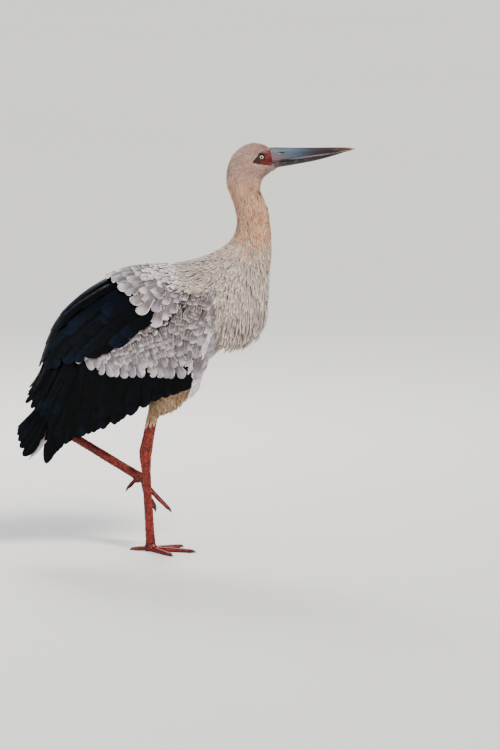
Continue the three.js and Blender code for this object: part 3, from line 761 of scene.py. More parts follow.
# %% Wing tracts
MANTLE = {
    "low": [(150, 661), (112, 648.5), (76, 622), (48, 585), (16, 570)],
    "high": [(4, 0.62), (40, 0.82), (90, 0.9), (140, 0.92), (180, 0.9)],
}
SCAPULARS = {
    "low": [(62, 627), (52, 622.5), (-20, 572.5), (-84, 523.5), (-170, 482), (-240, 458)],
    "high": [(110, 0.88), (170, 0.92), (240, 0.94), (310, 0.95), (370, 0.95), (424, 0.92)],
}
COVERTS = {
    "low": [
        (166, 620), (163, 578), (154, 535), (138, 480), (114, 430), (60, 442), (0, 447), (-61, 443), (-122, 457),
        (-166, 482),
    ],
    "high": [(163, 655), (140, 650), (112, 642), (80, 630), (40, 608), (0, 582), (-40, 553), (-84, 521), (-160, 494)],
}
QUILLS = {
    "low": [(109, 421), (60, 399), (0, 379), (-98, 324), (-171, 297), (-229, 268), (-262, 224)],
    "high": [
        (112, 428.5), (60, 440.5), (0, 445.5), (-61, 441.5), (-122, 455.5), (-170, 480), (-214, 470), (-240, 455),
    ],
}
HEM = {"low": [(111, 394), (94, 382)], "high": [(124, 448), (108, 436)]}
TERTIALS = {"low": [(-248, 316), (-296, 368)], "high": [(-236, 352), (-288, 412)]}
for tract in (MANTLE, SCAPULARS, COVERTS, QUILLS, HEM, TERTIALS):
    tract["low"] = on_flank(tract["low"])
    high = np.array(tract["high"], float)
    # A high line that is already given as (a, v) has small second numbers.
    tract["high"] = high if abs(high[:, 1]).max() < 1.5 else on_flank(high)


def tract_point(tract, u, w, side, lift=0.0):
    """A place in a tract: u runs front to rear and w from its low line to its high one."""
    w = np.broadcast_to(w, np.shape(u))
    a, v = np.moveaxis(on_line(tract["low"], u) * (1 - w)[..., None] + on_line(tract["high"], u) * w[..., None], -1, 0)
    run = flank_point(a + 6, v, side) - flank_point(a - 6, v, side)
    rise = flank_point(a, v + 0.04, side) - flank_point(a, v - 0.04, side)
    out = np.cross(run, rise) * side
    out /= np.linalg.norm(out, axis=-1, keepdims=True)
    return flank_point(a, v, side) + out * np.asarray(lift)[..., None] * MM


def side_ways(degrees):
    """Directions in the side view: 0 points straight down, positive angles turn towards the bill."""
    angle = np.radians(degrees)
    return np.stack([np.sin(angle), 0 * angle, -np.cos(angle)], axis=-1)


def back_from(tips, ways, lengths, guide):
    """Roots for feathers that end at the given tips."""
    roots = []
    for tip, way, length in zip(tips, ways, lengths):
        _, up = guide.at(Vector(tip))
        heading = Vector(way)
        heading = (heading - up * heading.dot(up)).normalized()
        roots.append(np.array(guide.at(Vector(tip) - heading * float(length))[0]))
    return np.array(roots)


def down(name, pale, deep, **fixed):
    """The fine fluff on the skin under the feathers."""
    finish = Finish(name, **fixed)
    return finish.wear(finish.mix(finish.noise(300.0), pale, deep))


hide_black = down("black_down", "04070b", "0a1220", Roughness=0.9, Specular_IOR_Level=0.1)
hide_white = down("white_down", "9c897e", "b8a499", Roughness=0.95)
# For each hide: its tract, how deep it lies in mm, whether its down is black, where it starts along the tract, and its
# two edges.
HIDES = (
    (MANTLE, -1, 0, 0.3, 0.12, 0.98),
    (SCAPULARS, -3, 1, 0.02, 0.12, 0.98),
    (COVERTS, -7, 0, 0.02, 0.3, 0.86),
    (QUILLS, -9, 1, 0.02, 0.12, 0.98),
)


def hide_sheet(side, tract, sink, is_black, first, low, high):
    def place(u, w):
        front = 0 * u if tract is SCAPULARS else 12 * (1 - smooth_rise(u * 4))
        return tract_point(tract, first + (0.95 - first) * u, low + (high - low) * w, side, sink - front)

    sheet = bent_sheet(36, 10, place)
    for face in sheet.faces:
        face.material_index = is_black
    bmesh.ops.solidify(sheet, geom=sheet.faces, thickness=1.2 * MM)
    bmesh.ops.recalc_face_normals(sheet, faces=sheet.faces)
    return sheet


for side_name, side in SIDES.items():
    hide = bmesh.new()
    for layer in HIDES:
        hide.from_mesh(as_mesh(hide_sheet(side, *layer)))
    show(as_mesh(hide, f"wing_{side_name}_hide"), [hide_white, hide_black])

# %% [markdown]
# Covert rows run from the hem upwards, each row shorter, narrower and lying over the roots of the row below. Slender
# white feathers cover the leading edge. Black scapulars are long and broad and sweep back over the closed quills.
# White scapulars fan out from the shoulder over the roots of the black ones.

# %% Quills, coverts and scapulars
# Covert rows: how far up the tract, how many feathers, and their length and width in mm.
COVERT_ROWS = [
    (0.00, 26, 108, 27), (0.26, 25, 84, 25.5), (0.44, 26, 66, 23), (0.58, 28, 52, 20), (0.70, 31, 42, 17.5),
    (0.80, 34, 34, 15.5), (0.88, 37, 28, 13.5), (0.95, 40, 24, 12),
]
# Black scapular rows have where they start along the tract after their count.
BLACK_ROWS = [
    (0.02, 8, 0.32, 150, 48), (0.16, 4, 0.5, 180, 48), (0.3, 6, 0.46, 190, 50), (0.42, 2, 0.4, 130, 48),
    (0.52, 5, 0.64, 215, 46), (0.74, 5, 0.62, 220, 40), (0.93, 6, 0.6, 220, 34),
]
# White scapular rows run across the mantle: how far back, how many feathers, and their length and width.
WHITE_ROWS = [
    (1.0, 7, 98, 35), (0.84, 8, 78, 31), (0.68, 9, 62, 27), (0.54, 9, 50, 23), (0.41, 9, 40, 19.5),
    (0.29, 9, 33, 16.5), (0.18, 8, 28, 14), (0.08, 7, 24, 12),
]
LAYERED = {"roll": 0.16, "steps": 7}


def row(tract, w, count, angle, length, width, lift, sink=4.0, u_from=0.0, u_to=1.0, spread=0.35, roll=0.0, steps=5):
    """One row of feathers by their tips, on the wing in hand. angle, length and lift may depend on u."""
    u = np.linspace(u_from, u_to, count) + chance.normal(0, spread / count, count) * (u_to - u_from)
    u = np.clip(u, 0, 1)
    at_u = lambda value: np.array([value(each) for each in u]) if callable(value) else np.full(count, float(value))
    tips = tract_point(tract, u, np.clip(w + chance.normal(0, 0.02, count), 0, 1), side)
    ways = side_ways(at_u(angle) + chance.normal(0, 2.2, count))
    lengths = jitter(at_u(length), 0.05) * MM
    roots = back_from(tips, ways, lengths, guide)
    shafts, ups = lay(guide, roots, ways, lengths, steps, sink=sink, lift=jitter(at_u(lift), 0.1))
    return shafts, ups, jitter(at_u(width), 0.06) * MM, np.full(count, roll * side)


def fan_row(reach, count, length, width):
    """One row of white scapulars, which turn from the leading edge round to the back."""
    w = np.linspace(0.02, 0.98, count) + chance.normal(0, 0.02, count)
    u = np.clip(reach + chance.normal(0, 0.02, count), 0, 1)
    tips = tract_point(MANTLE, u, np.clip(w, 0, 1), side)
    ways = side_ways(-(12 + 80 * smooth_rise(w * 1.15)) + chance.normal(0, 3, count))
    lengths = jitter(np.full(count, length * MM), 0.07)
    roots = back_from(tips, ways, lengths, guide)
    shafts, ups = lay(guide, roots, ways, lengths, 5, sink=3.0 - 3.0 * reach, lift=2.0 + 6.0 * reach)
    return shafts, ups, jitter(np.full(count, width * MM), 0.06), np.full(count, 0.17 * side)


def grow_rows(name, shapes, rows, material, soil, replaced=()):
    """Grows rows as one piece. soil is a share, or gives one for each feather from their shafts."""
    shafts, ups, widths, roll = [np.concatenate(parts) for parts in zip(*rows)]
    soil = soil(shafts) if callable(soil) else soil
    grow(f"wing_{side_name}_{name}", shapes, shafts, ups, widths, material, soil, roll, replaced)


def quill_angle(u):
    return -6 - 10 * u + 4 * math.sin(3 * u)


def covert_angle(u):
    return -18 + 42 * smooth_rise((u - 0.3) / 0.2) - 6 * u


def covert_row(w, count, length, width):
    reach = min(1.0, 1.12 - 0.35 * w) if w < 0.75 else 0.8
    lift = lambda u: 4.5 * smooth_rise(u * 7) - 4.0
    count = round(count * reach)
    return row(COVERTS, w, count, covert_angle, length, width, lift, sink=7.5, u_to=reach, roll=0.24 - 0.14 * w)


def covert_soil(shafts):
    """The coverts are browner towards the shoulder."""
    height = (shafts[:, -1, 2] / MM - 440) / 180
    return np.clip(0.25 + 0.75 * np.clip(height, 0, 1) + chance.normal(0, 0.15, len(shafts)), 0, 1)


def scapular_soil(shafts):
    return np.clip(chance.normal(0.15, 0.12, len(shafts)), 0, 1)


for side_name, side in SIDES.items():
    guide = wing_guides[side_name]
    # Flight feathers, in an outer layer and an inner one, with shorter ones over them and the tertials.
    rows = [
        row(QUILLS, 0.03 * layer, 27, quill_angle, lambda u: 105 + 200 * u**1.1, lambda u: 36 - 6 * u,
            -4.5 - 4.5 * layer, sink=9 + 3 * layer, u_from=0.01, **LAYERED)
        for layer in range(2)
    ]
    rows += [row(QUILLS, 0.25, 16, quill_angle, lambda u: 80 + 150 * u, 32, -3.0, 8, 0.45, 0.99, **LAYERED)]
    rows += [row(TERTIALS, 0.1 + 0.4 * k, 6, -27, 165 - 15 * k, 24, 1.5 + k, **LAYERED) for k in range(3)]
    grow_rows("quill_feathers", BROAD, rows, black_feather, 1.0, [f"wing_{side_name}_quills"])

    rows = [covert_row(*each) for each in COVERT_ROWS]
    edge_rows = [
        row(COVERTS, 0.01 + 0.035 * k, 15, -17, 60 - 4 * k, 11, -1.2 - 0.2 * k, sink=7, u_to=0.43, roll=0.15)
        for k in range(7)
    ]
    edge_rows += [row(HEM, 0.05 + 0.3 * k, 6, -20, 46, 10, -1.0, sink=7, roll=0.15) for k in range(4)]
    grow_rows("leading_edge", LONG, edge_rows, white_feather, 0.1)
    coverts = [f"wing_{side_name}_coverts"]
    grow_rows("covert_feathers", BROAD, rows, covert_feather, covert_soil, coverts)

    rows = [
        row(SCAPULARS, w, count, lambda u: -(46 + 26 * w) + 6 * u, length, width, 5.5 + 1.2 * w, sink=3.0,
            u_from=u_from, spread=0.25, **LAYERED)
        for w, count, u_from, length, width in BLACK_ROWS
    ]
    grow_rows("black_scapulars", BROAD, rows, black_feather, 0.0, [f"wing_{side_name}_scapulars"])

    rows = [fan_row(*each) for each in WHITE_ROWS]
    mantle = [f"wing_{side_name}_mantle"]
    grow_rows("white_scapulars", BROAD, rows, covert_feather, scapular_soil, mantle)

# %% [markdown]
# ## The body's coat
# On the body the feathers' lie, length and width change slowly from place to place. A short list of flow marks gives
# them in the side view, and each feather takes the average of the marks near it, the nearest counting most.

# %% Lie of the coat
# Each mark: x and z in the side view, which way the feathers lie as x and z, their length and their width, in mm.
FLOW = np.array([
    (288, 990, -1.0, 0.25, 5, 2.4), (262, 1002, -1.0, -0.1, 7, 2.8), (232, 990, -0.8, -0.6, 10, 3.2),
    (208, 955, -0.15, -1.0, 13, 3.6), (262, 948, -0.95, -0.4, 8, 2.8), (292, 938, -0.95, -0.3, 6, 2.4),
    (240, 922, -0.4, -0.9, 11, 3.2), (205, 900, 0.1, -1.0, 17, 4.0), (225, 850, 0.28, -1.0, 21, 4.2),
    (245, 800, 0.15, -1.0, 26, 4.5), (264, 760, 0.02, -1.0, 34, 5.0), (225, 760, -0.35, -0.95, 28, 6.0),
    (270, 700, 0.02, -1.0, 52, 6.0), (255, 640, -0.02, -1.0, 62, 6.5), (240, 600, -0.12, -1.0, 60, 7.0),
    (238, 560, -0.3, -1.0, 52, 7.0), (190, 540, -0.45, -0.8, 46, 8.0), (200, 700, -0.5, -0.9, 28, 8.0),
    (185, 640, -0.3, -1.0, 34, 8.0), (150, 720, -0.85, -0.5, 24, 8.0), (100, 735, -1.0, -0.1, 26, 10.0),
    (0, 735, -1.0, -0.15, 32, 12.0), (-80, 690, -0.85, -0.5, 36, 12.0), (-200, 560, -0.7, -0.75, 38, 12.0),
    (100, 480, -0.8, -0.5, 40, 10.0), (0, 430, -0.9, -0.35, 40, 10.0), (-150, 400, -0.9, -0.35, 42, 10.0),
    (60, 460, -0.15, -1.0, 42, 9.0), (34, 420, -0.12, -1.0, 36, 8.0), (14, 390, -0.05, -1.0, 26, 5.0),
    (0, 420, -0.5, -0.8, 36, 8.0), (-40, 420, -0.7, -0.6, 30, 6.0),
])
FOLDED_WING = [
    (112, 640), (130, 612), (136, 578), (128, 535), (112, 480), (92, 440), (60, 424), (0, 404), (-98, 350),
    (-171, 325), (-229, 300), (-250, 440), (-170, 560), (-80, 640), (-10, 675), (50, 668), (90, 652),
]
FACE = [
    (251, 960), (261, 970), (267, 980), (276, 985), (288, 985.5), (302, 981), (303, 955), (292, 951), (276, 953),
    (262, 955),
]
BODY_HALF = 34  # the body under the wings, which needs no coat, is further out than this


def inside(outline, points):
    """Which points lie within an outline in the side view."""
    x, z = points[:, 0] / MM, points[:, 2] / MM
    hit = np.zeros(len(points), bool)
    for (x0, z0), (x1, z1) in zip(outline, outline[1:] + outline[:1]):
        crosses = (z0 > z) != (z1 > z)
        hit ^= crosses & (x < x0 + (z - z0) * (x1 - x0) / (z1 - z0 if z1 != z0 else 1))
    return hit


def coat_at(points):
    """The way the feathers lie at each point, their length and their width."""
    flat = points[:, [0, 2]] / MM
    near = 1 / (((flat[:, None] - FLOW[None, :, :2]) ** 2).sum(axis=2) + 60) ** 1.6
    mean = (near @ FLOW[:, 2:]) / near.sum(axis=1, keepdims=True)
    ways = np.stack([mean[:, 0], np.zeros(len(points)), mean[:, 1]], axis=1)
    return ways, mean[:, 2] * MM, mean[:, 3] * MM


def scatter(mask, gap):
    """Even roots on the skin: one chance point for each cell of the given size."""
    pool = np.flatnonzero(mask)
    pool = pool[chance.permutation(len(pool))]
    _, first = np.unique(np.floor(dense[pool] / (gap * MM)).astype(int), axis=0, return_index=True)
    return dense[pool[first]]


def coat(name, mask, gap, shapes, material, steps=4, lift=1.2, cling=1.0, spread=0.12,
         longer=1.0, wider=1.0, soil=0.15, sag=0.0):
    """Grows feathers over part of the skin. gap is how far apart their roots are, in mm."""
    roots = scatter(mask, gap)
    count = len(roots)
    ways, lengths, widths = coat_at(roots)
    ways = ways + chance.normal(0, spread, ways.shape)
    lengths, widths = jitter(lengths * longer, 0.15), jitter(widths * wider, 0.12)
    sink, lift = coat_depth(roots) / MM + 0.3, jitter(np.full(count, lift), 0.5)
    shafts, ups = lay(body_guide, roots, ways, lengths, steps, sink, lift, cling, sag)
    dirt = np.clip(chance.normal(soil, 0.15, count), 0, 1)
    grow(name, shapes, shafts, ups, widths, material, dirt, chance.normal(0, 0.25, count))


x_mm, _, z_mm = dense.T / MM
off_mid = np.abs(dense[:, 1] - MID) / MM
face_gap = np.hypot(x_mm - 284, (z_mm - 968) * 1.3)
feathered = (dense_depth > 0.25 * MM) | ((z_mm > 900) & (face_gap > 6))
feathered &= ~(inside(FACE, dense) & (off_mid > 5))
under_wing = inside(FOLDED_WING, dense) & (off_mid > BODY_HALF)
facing_up = dense_out[:, 2] > 0.1
rump = (x_mm < -70) & facing_up
thighs = (z_mm < 440) & (x_mm > -150) & feathered
# The neck's buff feathers mix with the paler ones of the head and breast over a few centimetres.
mixed = z_mm + chance.normal(0, 12, len(z_mm))
head = feathered & (mixed > 913) & (z_mm > 890)
neck = feathered & (mixed > 762) & (z_mm > 735) & (mixed <= 916) & (z_mm < 938)
breast = (x_mm > 176) & (mixed < 764) & (z_mm < 790) & (z_mm > 520) & feathered
fringe = breast & (z_mm < 645) & (z_mm > 545) & (x_mm > 186)
rest = feathered & (z_mm <= 760) & ~breast & ~thighs & ~under_wing
shoulder = rest & (x_mm > 88) & (z_mm > 585)
skirt = thighs & (x_mm > 0) & (z_mm < 470) & ~facing_up

coat("head_tufts", head, 1.9, TUFT, head_feather, steps=2, lift=0.5, longer=1.2, wider=0.85, soil=0.3)
coat("neck_plumes", neck, 3.2, SOFT, neck_feather, longer=1.3, wider=0.75, spread=0.09, soil=0.35)
coat("breast_plumes", breast, 4.95, PLUME, breast_feather, steps=5, lift=2.4, cling=0.8, spread=0.09, longer=1.15,
     wider=0.8, soil=0.3)
coat("breast_fringe", fringe, 6.0, PLUME, breast_feather, steps=5, lift=3.0, cling=0.12, spread=0.10, longer=1.05,
     wider=0.8, soil=0.45, sag=1.0)
coat("shoulder_plumes", shoulder, 4.4, SOFT, breast_feather, lift=1.4, spread=0.1, longer=1.15, wider=0.5, soil=0.25)
coat("body_feathers", rest & ~rump & ~shoulder, 8.9, SMALL, white_feather, lift=1.5, soil=0.2)
coat("rump_feathers", feathered & rump & ~under_wing, 9, SMALL, black_feather, lift=1.5)
coat("thigh_fringe", skirt, 6.5, PLUME, tan_feather, lift=3.0, cling=0.15, spread=0.15, longer=0.75, wider=0.7,
     soil=0.5, sag=0.9)
coat("thigh_plumes", thighs, 5.2, SOFT, tan_feather, lift=1.6, cling=0.75, longer=1.05, soil=0.3)

# %% [markdown]
# ## Tail
# The forked tail is a roof-shaped fan of twelve black feathers with the outer ones longest. Under it lie long, stiff
# white coverts that nearly reach its tips. Each shaft is one line of the fan, from its root to its tip.

# %% Tail fan
TAIL_ROOT = (-196, 408)
TAIL_FALL = math.radians(44)
TAIL_SPREAD = 0.94
# The rows of undertail coverts: how many, how far out they go and their share of the full length.
UNDERTAIL = ((9, 0.95, 1.0), (8, 0.85, 0.8), (8, 0.8, 0.6), (8, 0.8, 0.42))


def tail_shafts(places, lengths, steps, width, up, drop, lift):
    """Shafts of a fan. places run from -1 to 1 across it; width, up and drop are each at its root and at its tip."""
    t = np.linspace(0, 1, steps + 1)[None, :]
    wide, high, low = [at_root + (at_tip - at_root) * smooth_rise(t) for at_root, at_tip in (width, up, drop)]

    def fan(side):
        along = t * lengths[:, None]
        rise = high - low * side**2 + lift[:, None]
        x = TAIL_ROOT[0] - along * math.cos(TAIL_FALL) - rise * math.sin(TAIL_FALL)
        z = TAIL_ROOT[1] - along * math.sin(TAIL_FALL) + rise * math.cos(TAIL_FALL)
        return np.stack([x * MM, MID + side * wide * MM, z * MM], axis=2)

    shafts = fan(places[:, None])
    aside = fan(places[:, None] + 0.05) - fan(places[:, None] - 0.05)
    ups = np.cross(np.gradient(shafts, axis=1), aside)
    ups *= np.sign(ups[..., 2:3])
    return shafts, ups / np.linalg.norm(ups, axis=2, keepdims=True)


places = np.linspace(-TAIL_SPREAD, TAIL_SPREAD, 12)
lengths = 158 + 40 * np.abs(places) ** 1.2
lift = 2.5 - 4 * np.abs(places) + np.arange(12) % 2
shafts, ups = tail_shafts(places, lengths, 7, (22, 50), (20, 15), (16, 60), lift)
grow("tail_feathers", BROAD, shafts, ups, np.full(12, 30 * MM), black_feather, 1.0, 0.0, ["tail"])
places = np.concatenate([np.linspace(-out, out, count) for count, out, _ in UNDERTAIL])
share = np.concatenate([np.full(count, share) for count, _, share in UNDERTAIL])
lengths = (196 - 26 * (1 - np.abs(places))) * share
shafts, ups = tail_shafts(places, lengths, 6, (24, 38), (-18, -25), (8, 38), 2 - 16 * (1 - share))
grow("tail_undercovert_feathers", LONG, shafts, -ups, np.full(len(places), 19 * MM), white_feather,
     0.15, 0.0, ["tail_undercoverts"])

# %% [markdown]
# ## Skin finishes
# Under the feathers the skin is hidden, so it only has the colour of down. Bare skin shows in two places. On the legs
# it is scaly and brick red, with painted shade in the seams between its scales. Round the eye and on the lores it is
# scarlet, loose and warty, with painted shade in the creases between the warts. The faces of the skin's mesh are
# given one of these finishes by where they lie.

# %% Skin materials
finish = Finish("scaly_red_leg_skin", Roughness=0.5, Coat_Weight=0.08, Coat_Roughness=0.4)
scales = finish.cells(210.0, "DISTANCE_TO_EDGE")
colour = finish.mix(finish.remap(finish.noise(60.0, 4.0), 0.35, 0.65), "651a12", "982f22")
# The seams between the scales are darkened with painted shade.
colour = finish.mix(finish.remap(scales, 0.2, 0.03, 0.0, 0.85), colour, "2c0c0a")
leg_skin = finish.wear(colour, finish.remap(scales, 0.0, 0.2), strength=0.8)

finish = Finish("red_leg_scales", Roughness=0.42, Coat_Weight=0.12, Coat_Roughness=0.35)
edge, reach, tint, _ = finish.plume()
wear_and_seam_highlight = finish.calc("ADD", finish.times(tint, 0.45), finish.times(finish.noise(45.0, 5.0, 0.65), 0.75))
rim = finish.calc("MAXIMUM", finish.remap(edge, 0.6, 1.0), finish.remap(reach, 0.75, 1.0))
colour = finish.mix(finish.remap(wear_and_seam_highlight, 0.35, 0.85), "5e1710", "a83a2a")
# Each plate's rim and tip are darkened with painted shade, where it meets its neighbours.
colour = finish.mix(finish.times(rim, 0.7), colour, "330d0a")
leg_plates = finish.wear(colour, finish.noise(900.0), 0.2 * MM)

finish = Finish("warty_scarlet_face_skin", Roughness=0.48, Coat_Weight=0.1, Coat_Roughness=0.35)
warts = finish.cells(380.0, randomness=0.9)
ring = finish.calc("SQRT", finish.away(EYE.x, EYE.z))
colour = finish.mix(finish.remap(finish.noise(110.0, 5.0, 0.65), 0.36, 0.66), "480f0a", "93220f")
# The dips between the warts are darkened with painted shade.
colour = finish.mix(finish.remap(warts, 0.3, 0.7, 0.0, 0.8), colour, "240706")
colour = finish.mix(finish.remap(ring, 10.0 * MM, 6.4 * MM, 0.0, 0.94), colour, "200908")
colour = finish.mix(finish.remap(finish.x, 271 * MM, 262 * MM, 0.0, 0.93), colour, "2d0f0c")
face_skin = finish.wear(colour, warts, 0.6 * MM, 0.9, invert=True)

for material in (hide_white, hide_black, leg_skin, face_skin):
    skin_mesh.materials.append(material)
WHITE, BLACK, LEG, BARE_FACE = range(4)
centres = vectors(skin_mesh.polygons, "center")
parting = np.full(len(centres), WHITE)
parting[(centres[:, 0] < -70 * MM) & (vectors(skin_mesh.polygons, "normal")[:, 2] > 0.1)] = BLACK
parting[centres[:, 2] < 395 * MM] = LEG
for shift in ((0, 0), (-3, 0), (0, 3), (0, -3), (3, 0)):
    near_face = inside(FACE, centres + np.array([shift[0], 0, shift[1]]) * MM)
    parting[near_face & (centres[:, 2] > 900 * MM)] = BARE_FACE
parting[(centres[:, 0] > 283 * MM) & (np.abs(centres[:, 2] - 964 * MM) < 19 * MM)] = BARE_FACE
skin_mesh.polygons.foreach_set("material_index", parting.astype(np.int32))
skin_mesh.shade_smooth()
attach(skin, "root")
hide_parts(*FLESH)

# %% [markdown]
# ## Leg scales
# A stork's legs are covered with small six-sided scales, and the tops of its toes with broad plates. Each is a low
# domed plate of real mesh, laid on the skin in staggered rings round the leg's axis. Real scales are about 3 mm wide,
# too fine to show from here, so they are drawn 4.4 to 5.8 mm wide.


# %% Scales
def hexagon(y):
    return 0.62 + 0.38 * math.sin(math.pi * y)


PLATE = blade(3, 4, hexagon, bow=0.0, slant=0.0, shaft=0.0, thick=0.3)
across, along, height = PLATE["co"].T
PLATE["co"][:, 2] += np.where(height >= -0.001, 0.26 * (1 - np.minimum(1, across**2)) * 4 * along * (1 - along), 0)
leg_guide = Guide(skin_mesh)
UPRIGHT = Vector((0, 0, 1))
LEGS = {
    "right": [(43, -46, 528), (-12, -17, 244), (0, 0, 16)],
    "left": [(6, 52, 478), (-224, 27, 301), (-22, 30, 176)],
}
FEATHERED = {"right": 0.57, "left": 0.47}
TOES = {"inner": (86, 11), "middle": (108, 12), "outer": (90, 11), "hind": (46, 12)}  # length with the claw, and claw
STANDING = {"inner": 30, "middle": -14, "outer": -55, "hind": 168}  # which way each toe points on the floor
HANGING = {
    "inner": ((2, -5, -3), [(0.2, -0.34, -0.92), (0.42, -0.2, -0.88), (0.5, -0.1, -0.86)]),
    "middle": ((4, 0, -2), [(0.52, 0.02, -0.86), (0.68, 0.02, -0.73), (0.7, 0, -0.71)]),
    "outer": ((2, 5, -3), [(0.16, 0.38, -0.92), (0.4, 0.3, -0.87), (0.5, 0.2, -0.85)]),
    "hind": ((-8, 0, 1), [(-0.78, 0, -0.62), (-0.74, 0, -0.67), (-0.62, 0, -0.78)]),
}


def scale_rings(path, reach, pitch, size, facing=None, half_turn=math.pi):
    """Places for scales round a broken-line axis: roots, ways and widths. facing limits them to one side."""
    path = [Vector(p) * MM for p in path]
    roots, ways, widths = [], [], []
    around = max(1, int(2 * half_turn * reach / size))
    for start, end in zip(path, path[1:]):
        run = end - start
        along = run.normalized()
        first = facing or Vector((1, 0, 0))
        first = (first - along * first.dot(along)).normalized()
        second = along.cross(first)
        rings = max(1, int(run.length / (pitch * MM)))
        for ring_number in range(rings):
            middle = start + run * (ring_number / rings)
            stagger = 0.5 if facing else 0.25 + 0.5 * (ring_number % 2)
            for j in range(around):
                turn = (j + stagger) / around * 2 * half_turn - half_turn
                out = first * math.cos(turn) + second * math.sin(turn)
                roots.append(middle + out * reach * MM * 1.6)
                ways.append(along)
                widths.append(size * chance.uniform(0.92, 1.08) * MM)
    return np.array(roots), np.array(ways), np.array(widths)


def toe_path(side_name, toe):
    """A toe's root and joints, in millimetres."""
    length, claw = TOES[toe]
    if side_name == "right":
        angle = math.radians(STANDING[toe])
        out, height, fall = (9, 7, -0.1) if toe == "hind" else (8, 5.2, -0.016)
        root = Vector((out * math.cos(angle), out * math.sin(angle), height))
        bones = [Vector((math.cos(angle), math.sin(angle), fall))] * 3
    else:
        shift, bones = HANGING[toe]
        root = Vector(LEGS["left"][-1]) + Vector(shift)
    joints = [root]
    for bone in bones:
        joints.append(joints[-1] + Vector(bone).normalized() * (length - claw) / 3)
    return joints


for side_name in SIDES:
    knee, ankle, foot = [Vector(p) for p in LEGS[side_name]]
    bare, above_ankle = knee.lerp(ankle, FEATHERED[side_name]), knee.lerp(ankle, 0.9)
    below_ankle = ankle.lerp(foot, 0.12)
    sets = [
        scale_rings([bare, above_ankle], 11, 4.6, 5.6),
        scale_rings([above_ankle, below_ankle], 13, 4.4, 5.4),
        scale_rings([below_ankle, ankle.lerp(foot, 0.97)], 9.2, 4.8, 5.8),
    ]
    top = UPRIGHT if side_name == "right" else Vector((0.8, 0, 0.5))
    for toe in TOES:
        joints = toe_path(side_name, toe)
        sets.append(scale_rings(joints, 6.4, 4.2, 10.0, top, 0.45))
        for lean in (-1, 1):
            edge = (joints[1] - joints[0]).normalized().cross(top) * lean
            sets.append(scale_rings(joints, 5.6, 4.0, 4.4, (top * 0.35 + edge).normalized(), 0.75))
    roots, ways, widths = [np.concatenate(parts) for parts in zip(*sets)]
    shafts, ups = lay(leg_guide, roots, ways, widths * 0.92, 1, sink=0.25, lift=0.15)
    shafts[:, :, 2] = np.maximum(shafts[:, :, 2], 0.6 * MM)
    grow(f"leg_{side_name}_scales", [PLATE], shafts, ups, widths, leg_plates)

# %% [markdown]
# ## Bill
# The bill is a long straight wedge of two horn sheaths over bone. Each mandible is a grid wrapped into a tube: one way
# runs from its base to its tip and the other goes round it, and the ends close to a point. The upper one has a ridge,
# a shallow groove along its side and a slit nostril near its base.

# %% Mandibles
# Stations along each mandible in mm: x, the height of its outer edge, of its inner edge, and its half-width.
UPPER = [
    (283, 991.5, 957, 15.3), (291, 992.5, 957, 14.8), (318, 992.6, 959.5, 12.6), (350, 992, 963, 10.8),
    (400, 992, 970, 8.2), (450, 992.4, 979, 5.2), (480, 992, 985.4, 3.2), (499, 989.3, 987.9, 0.9),
]
LOWER = [
    (289, 942.5, 956.6, 13.2), (297, 941, 956.6, 13), (318, 945, 959.1, 11.4), (350, 950.5, 962.6, 9.6),
    (400, 960, 969.6, 7.2), (450, 973.5, 978.6, 4.4), (474, 981.4, 983.8, 2.8), (490, 985.8, 986.8, 1.2),
]


def wrapped(name, rows, columns, place, material, replaced=()):
    """A closed tube: place gives the points for t along it and turn round it, both as arrays."""
    tube = bent_sheet(columns, rows, lambda u, w: place(w, u * 2 * math.pi))
    bmesh.ops.remove_doubles(tube, verts=tube.verts, dist=0.003 * MM)
    bmesh.ops.recalc_face_normals(tube, faces=tube.faces)
    mesh = as_mesh(tube, name)
    mesh.shade_smooth()
    print(name, "faces:", len(mesh.polygons), "closed:", all(edge.is_manifold for edge in tube.edges))
    show(mesh, [material], replaced)


def bump(x, middle, width):
    return np.exp(-(((x - middle) / width) ** 2))


def mandible(stations, is_upper):
    first_x, last_x = stations[0][0], stations[-1][0]
    outer, inner, half = [profile([(s[0], s[i]) for s in stations]) for i in (1, 2, 3)]

    def place(t, turn):
        close = np.minimum(1, np.minimum(t * 40, (1 - t) * 60)) ** 0.5
        x = first_x + (last_x - first_x) * t
        crest, flat = outer(x), inner(x)
        lift = np.cos(turn)
        level = np.where(lift > 0, 0.14 + 0.86 * np.abs(lift) ** 0.92, 0.14 + 0.14 * lift)
        across = np.round(np.sin(turn), 9) * half(x)
        # a groove runs along the side, a third of the way up
        dent = 0.55 * bump(level, 0.36, 0.07) * smooth_rise((x - 300) / 20) * smooth_rise((470 - x) / 60)
        if is_upper:
            dent = dent + 2.2 * bump(x, NOSTRIL[0], 7.5) * bump(level, 0.62, 0.05)
            dent += 0.5 * bump(level, 0.82, 0.05) * smooth_rise((360 - x) / 60)
        else:
            dent = dent - 0.35 * np.sin(x * 0.35) * bump(level, 0.7, 0.2) * smooth_rise((400 - x) / 60)
        across -= np.sign(across) * dent
        z = flat + (crest - flat) * level
        centre = flat + (crest - flat) * 0.4
        return np.stack([x * MM, MID + across * close * MM, (centre + (z - centre) * close) * MM], axis=-1)

    return place


NOSTRIL = (320, 980)
finish = Finish("bill_horn", Roughness=0.36, Coat_Weight=0.25, Coat_Roughness=0.22)
stretched = add(finish.tree, "ShaderNodeMapping", {"Vector": finish.place, "Scale": (18, 260, 260)}).outputs[0]
grain = finish.noise(1.0, 5.0, 0.62, stretched)
wander = finish.times(finish.less(grain, 0.5), 70 * MM)
along = finish.calc("ADD", finish.x, wander)
ramp = add(finish.tree, "ShaderNodeValToRGB", {"Fac": finish.remap(along, 285 * MM, 499 * MM)})
stops = ramp.color_ramp.elements
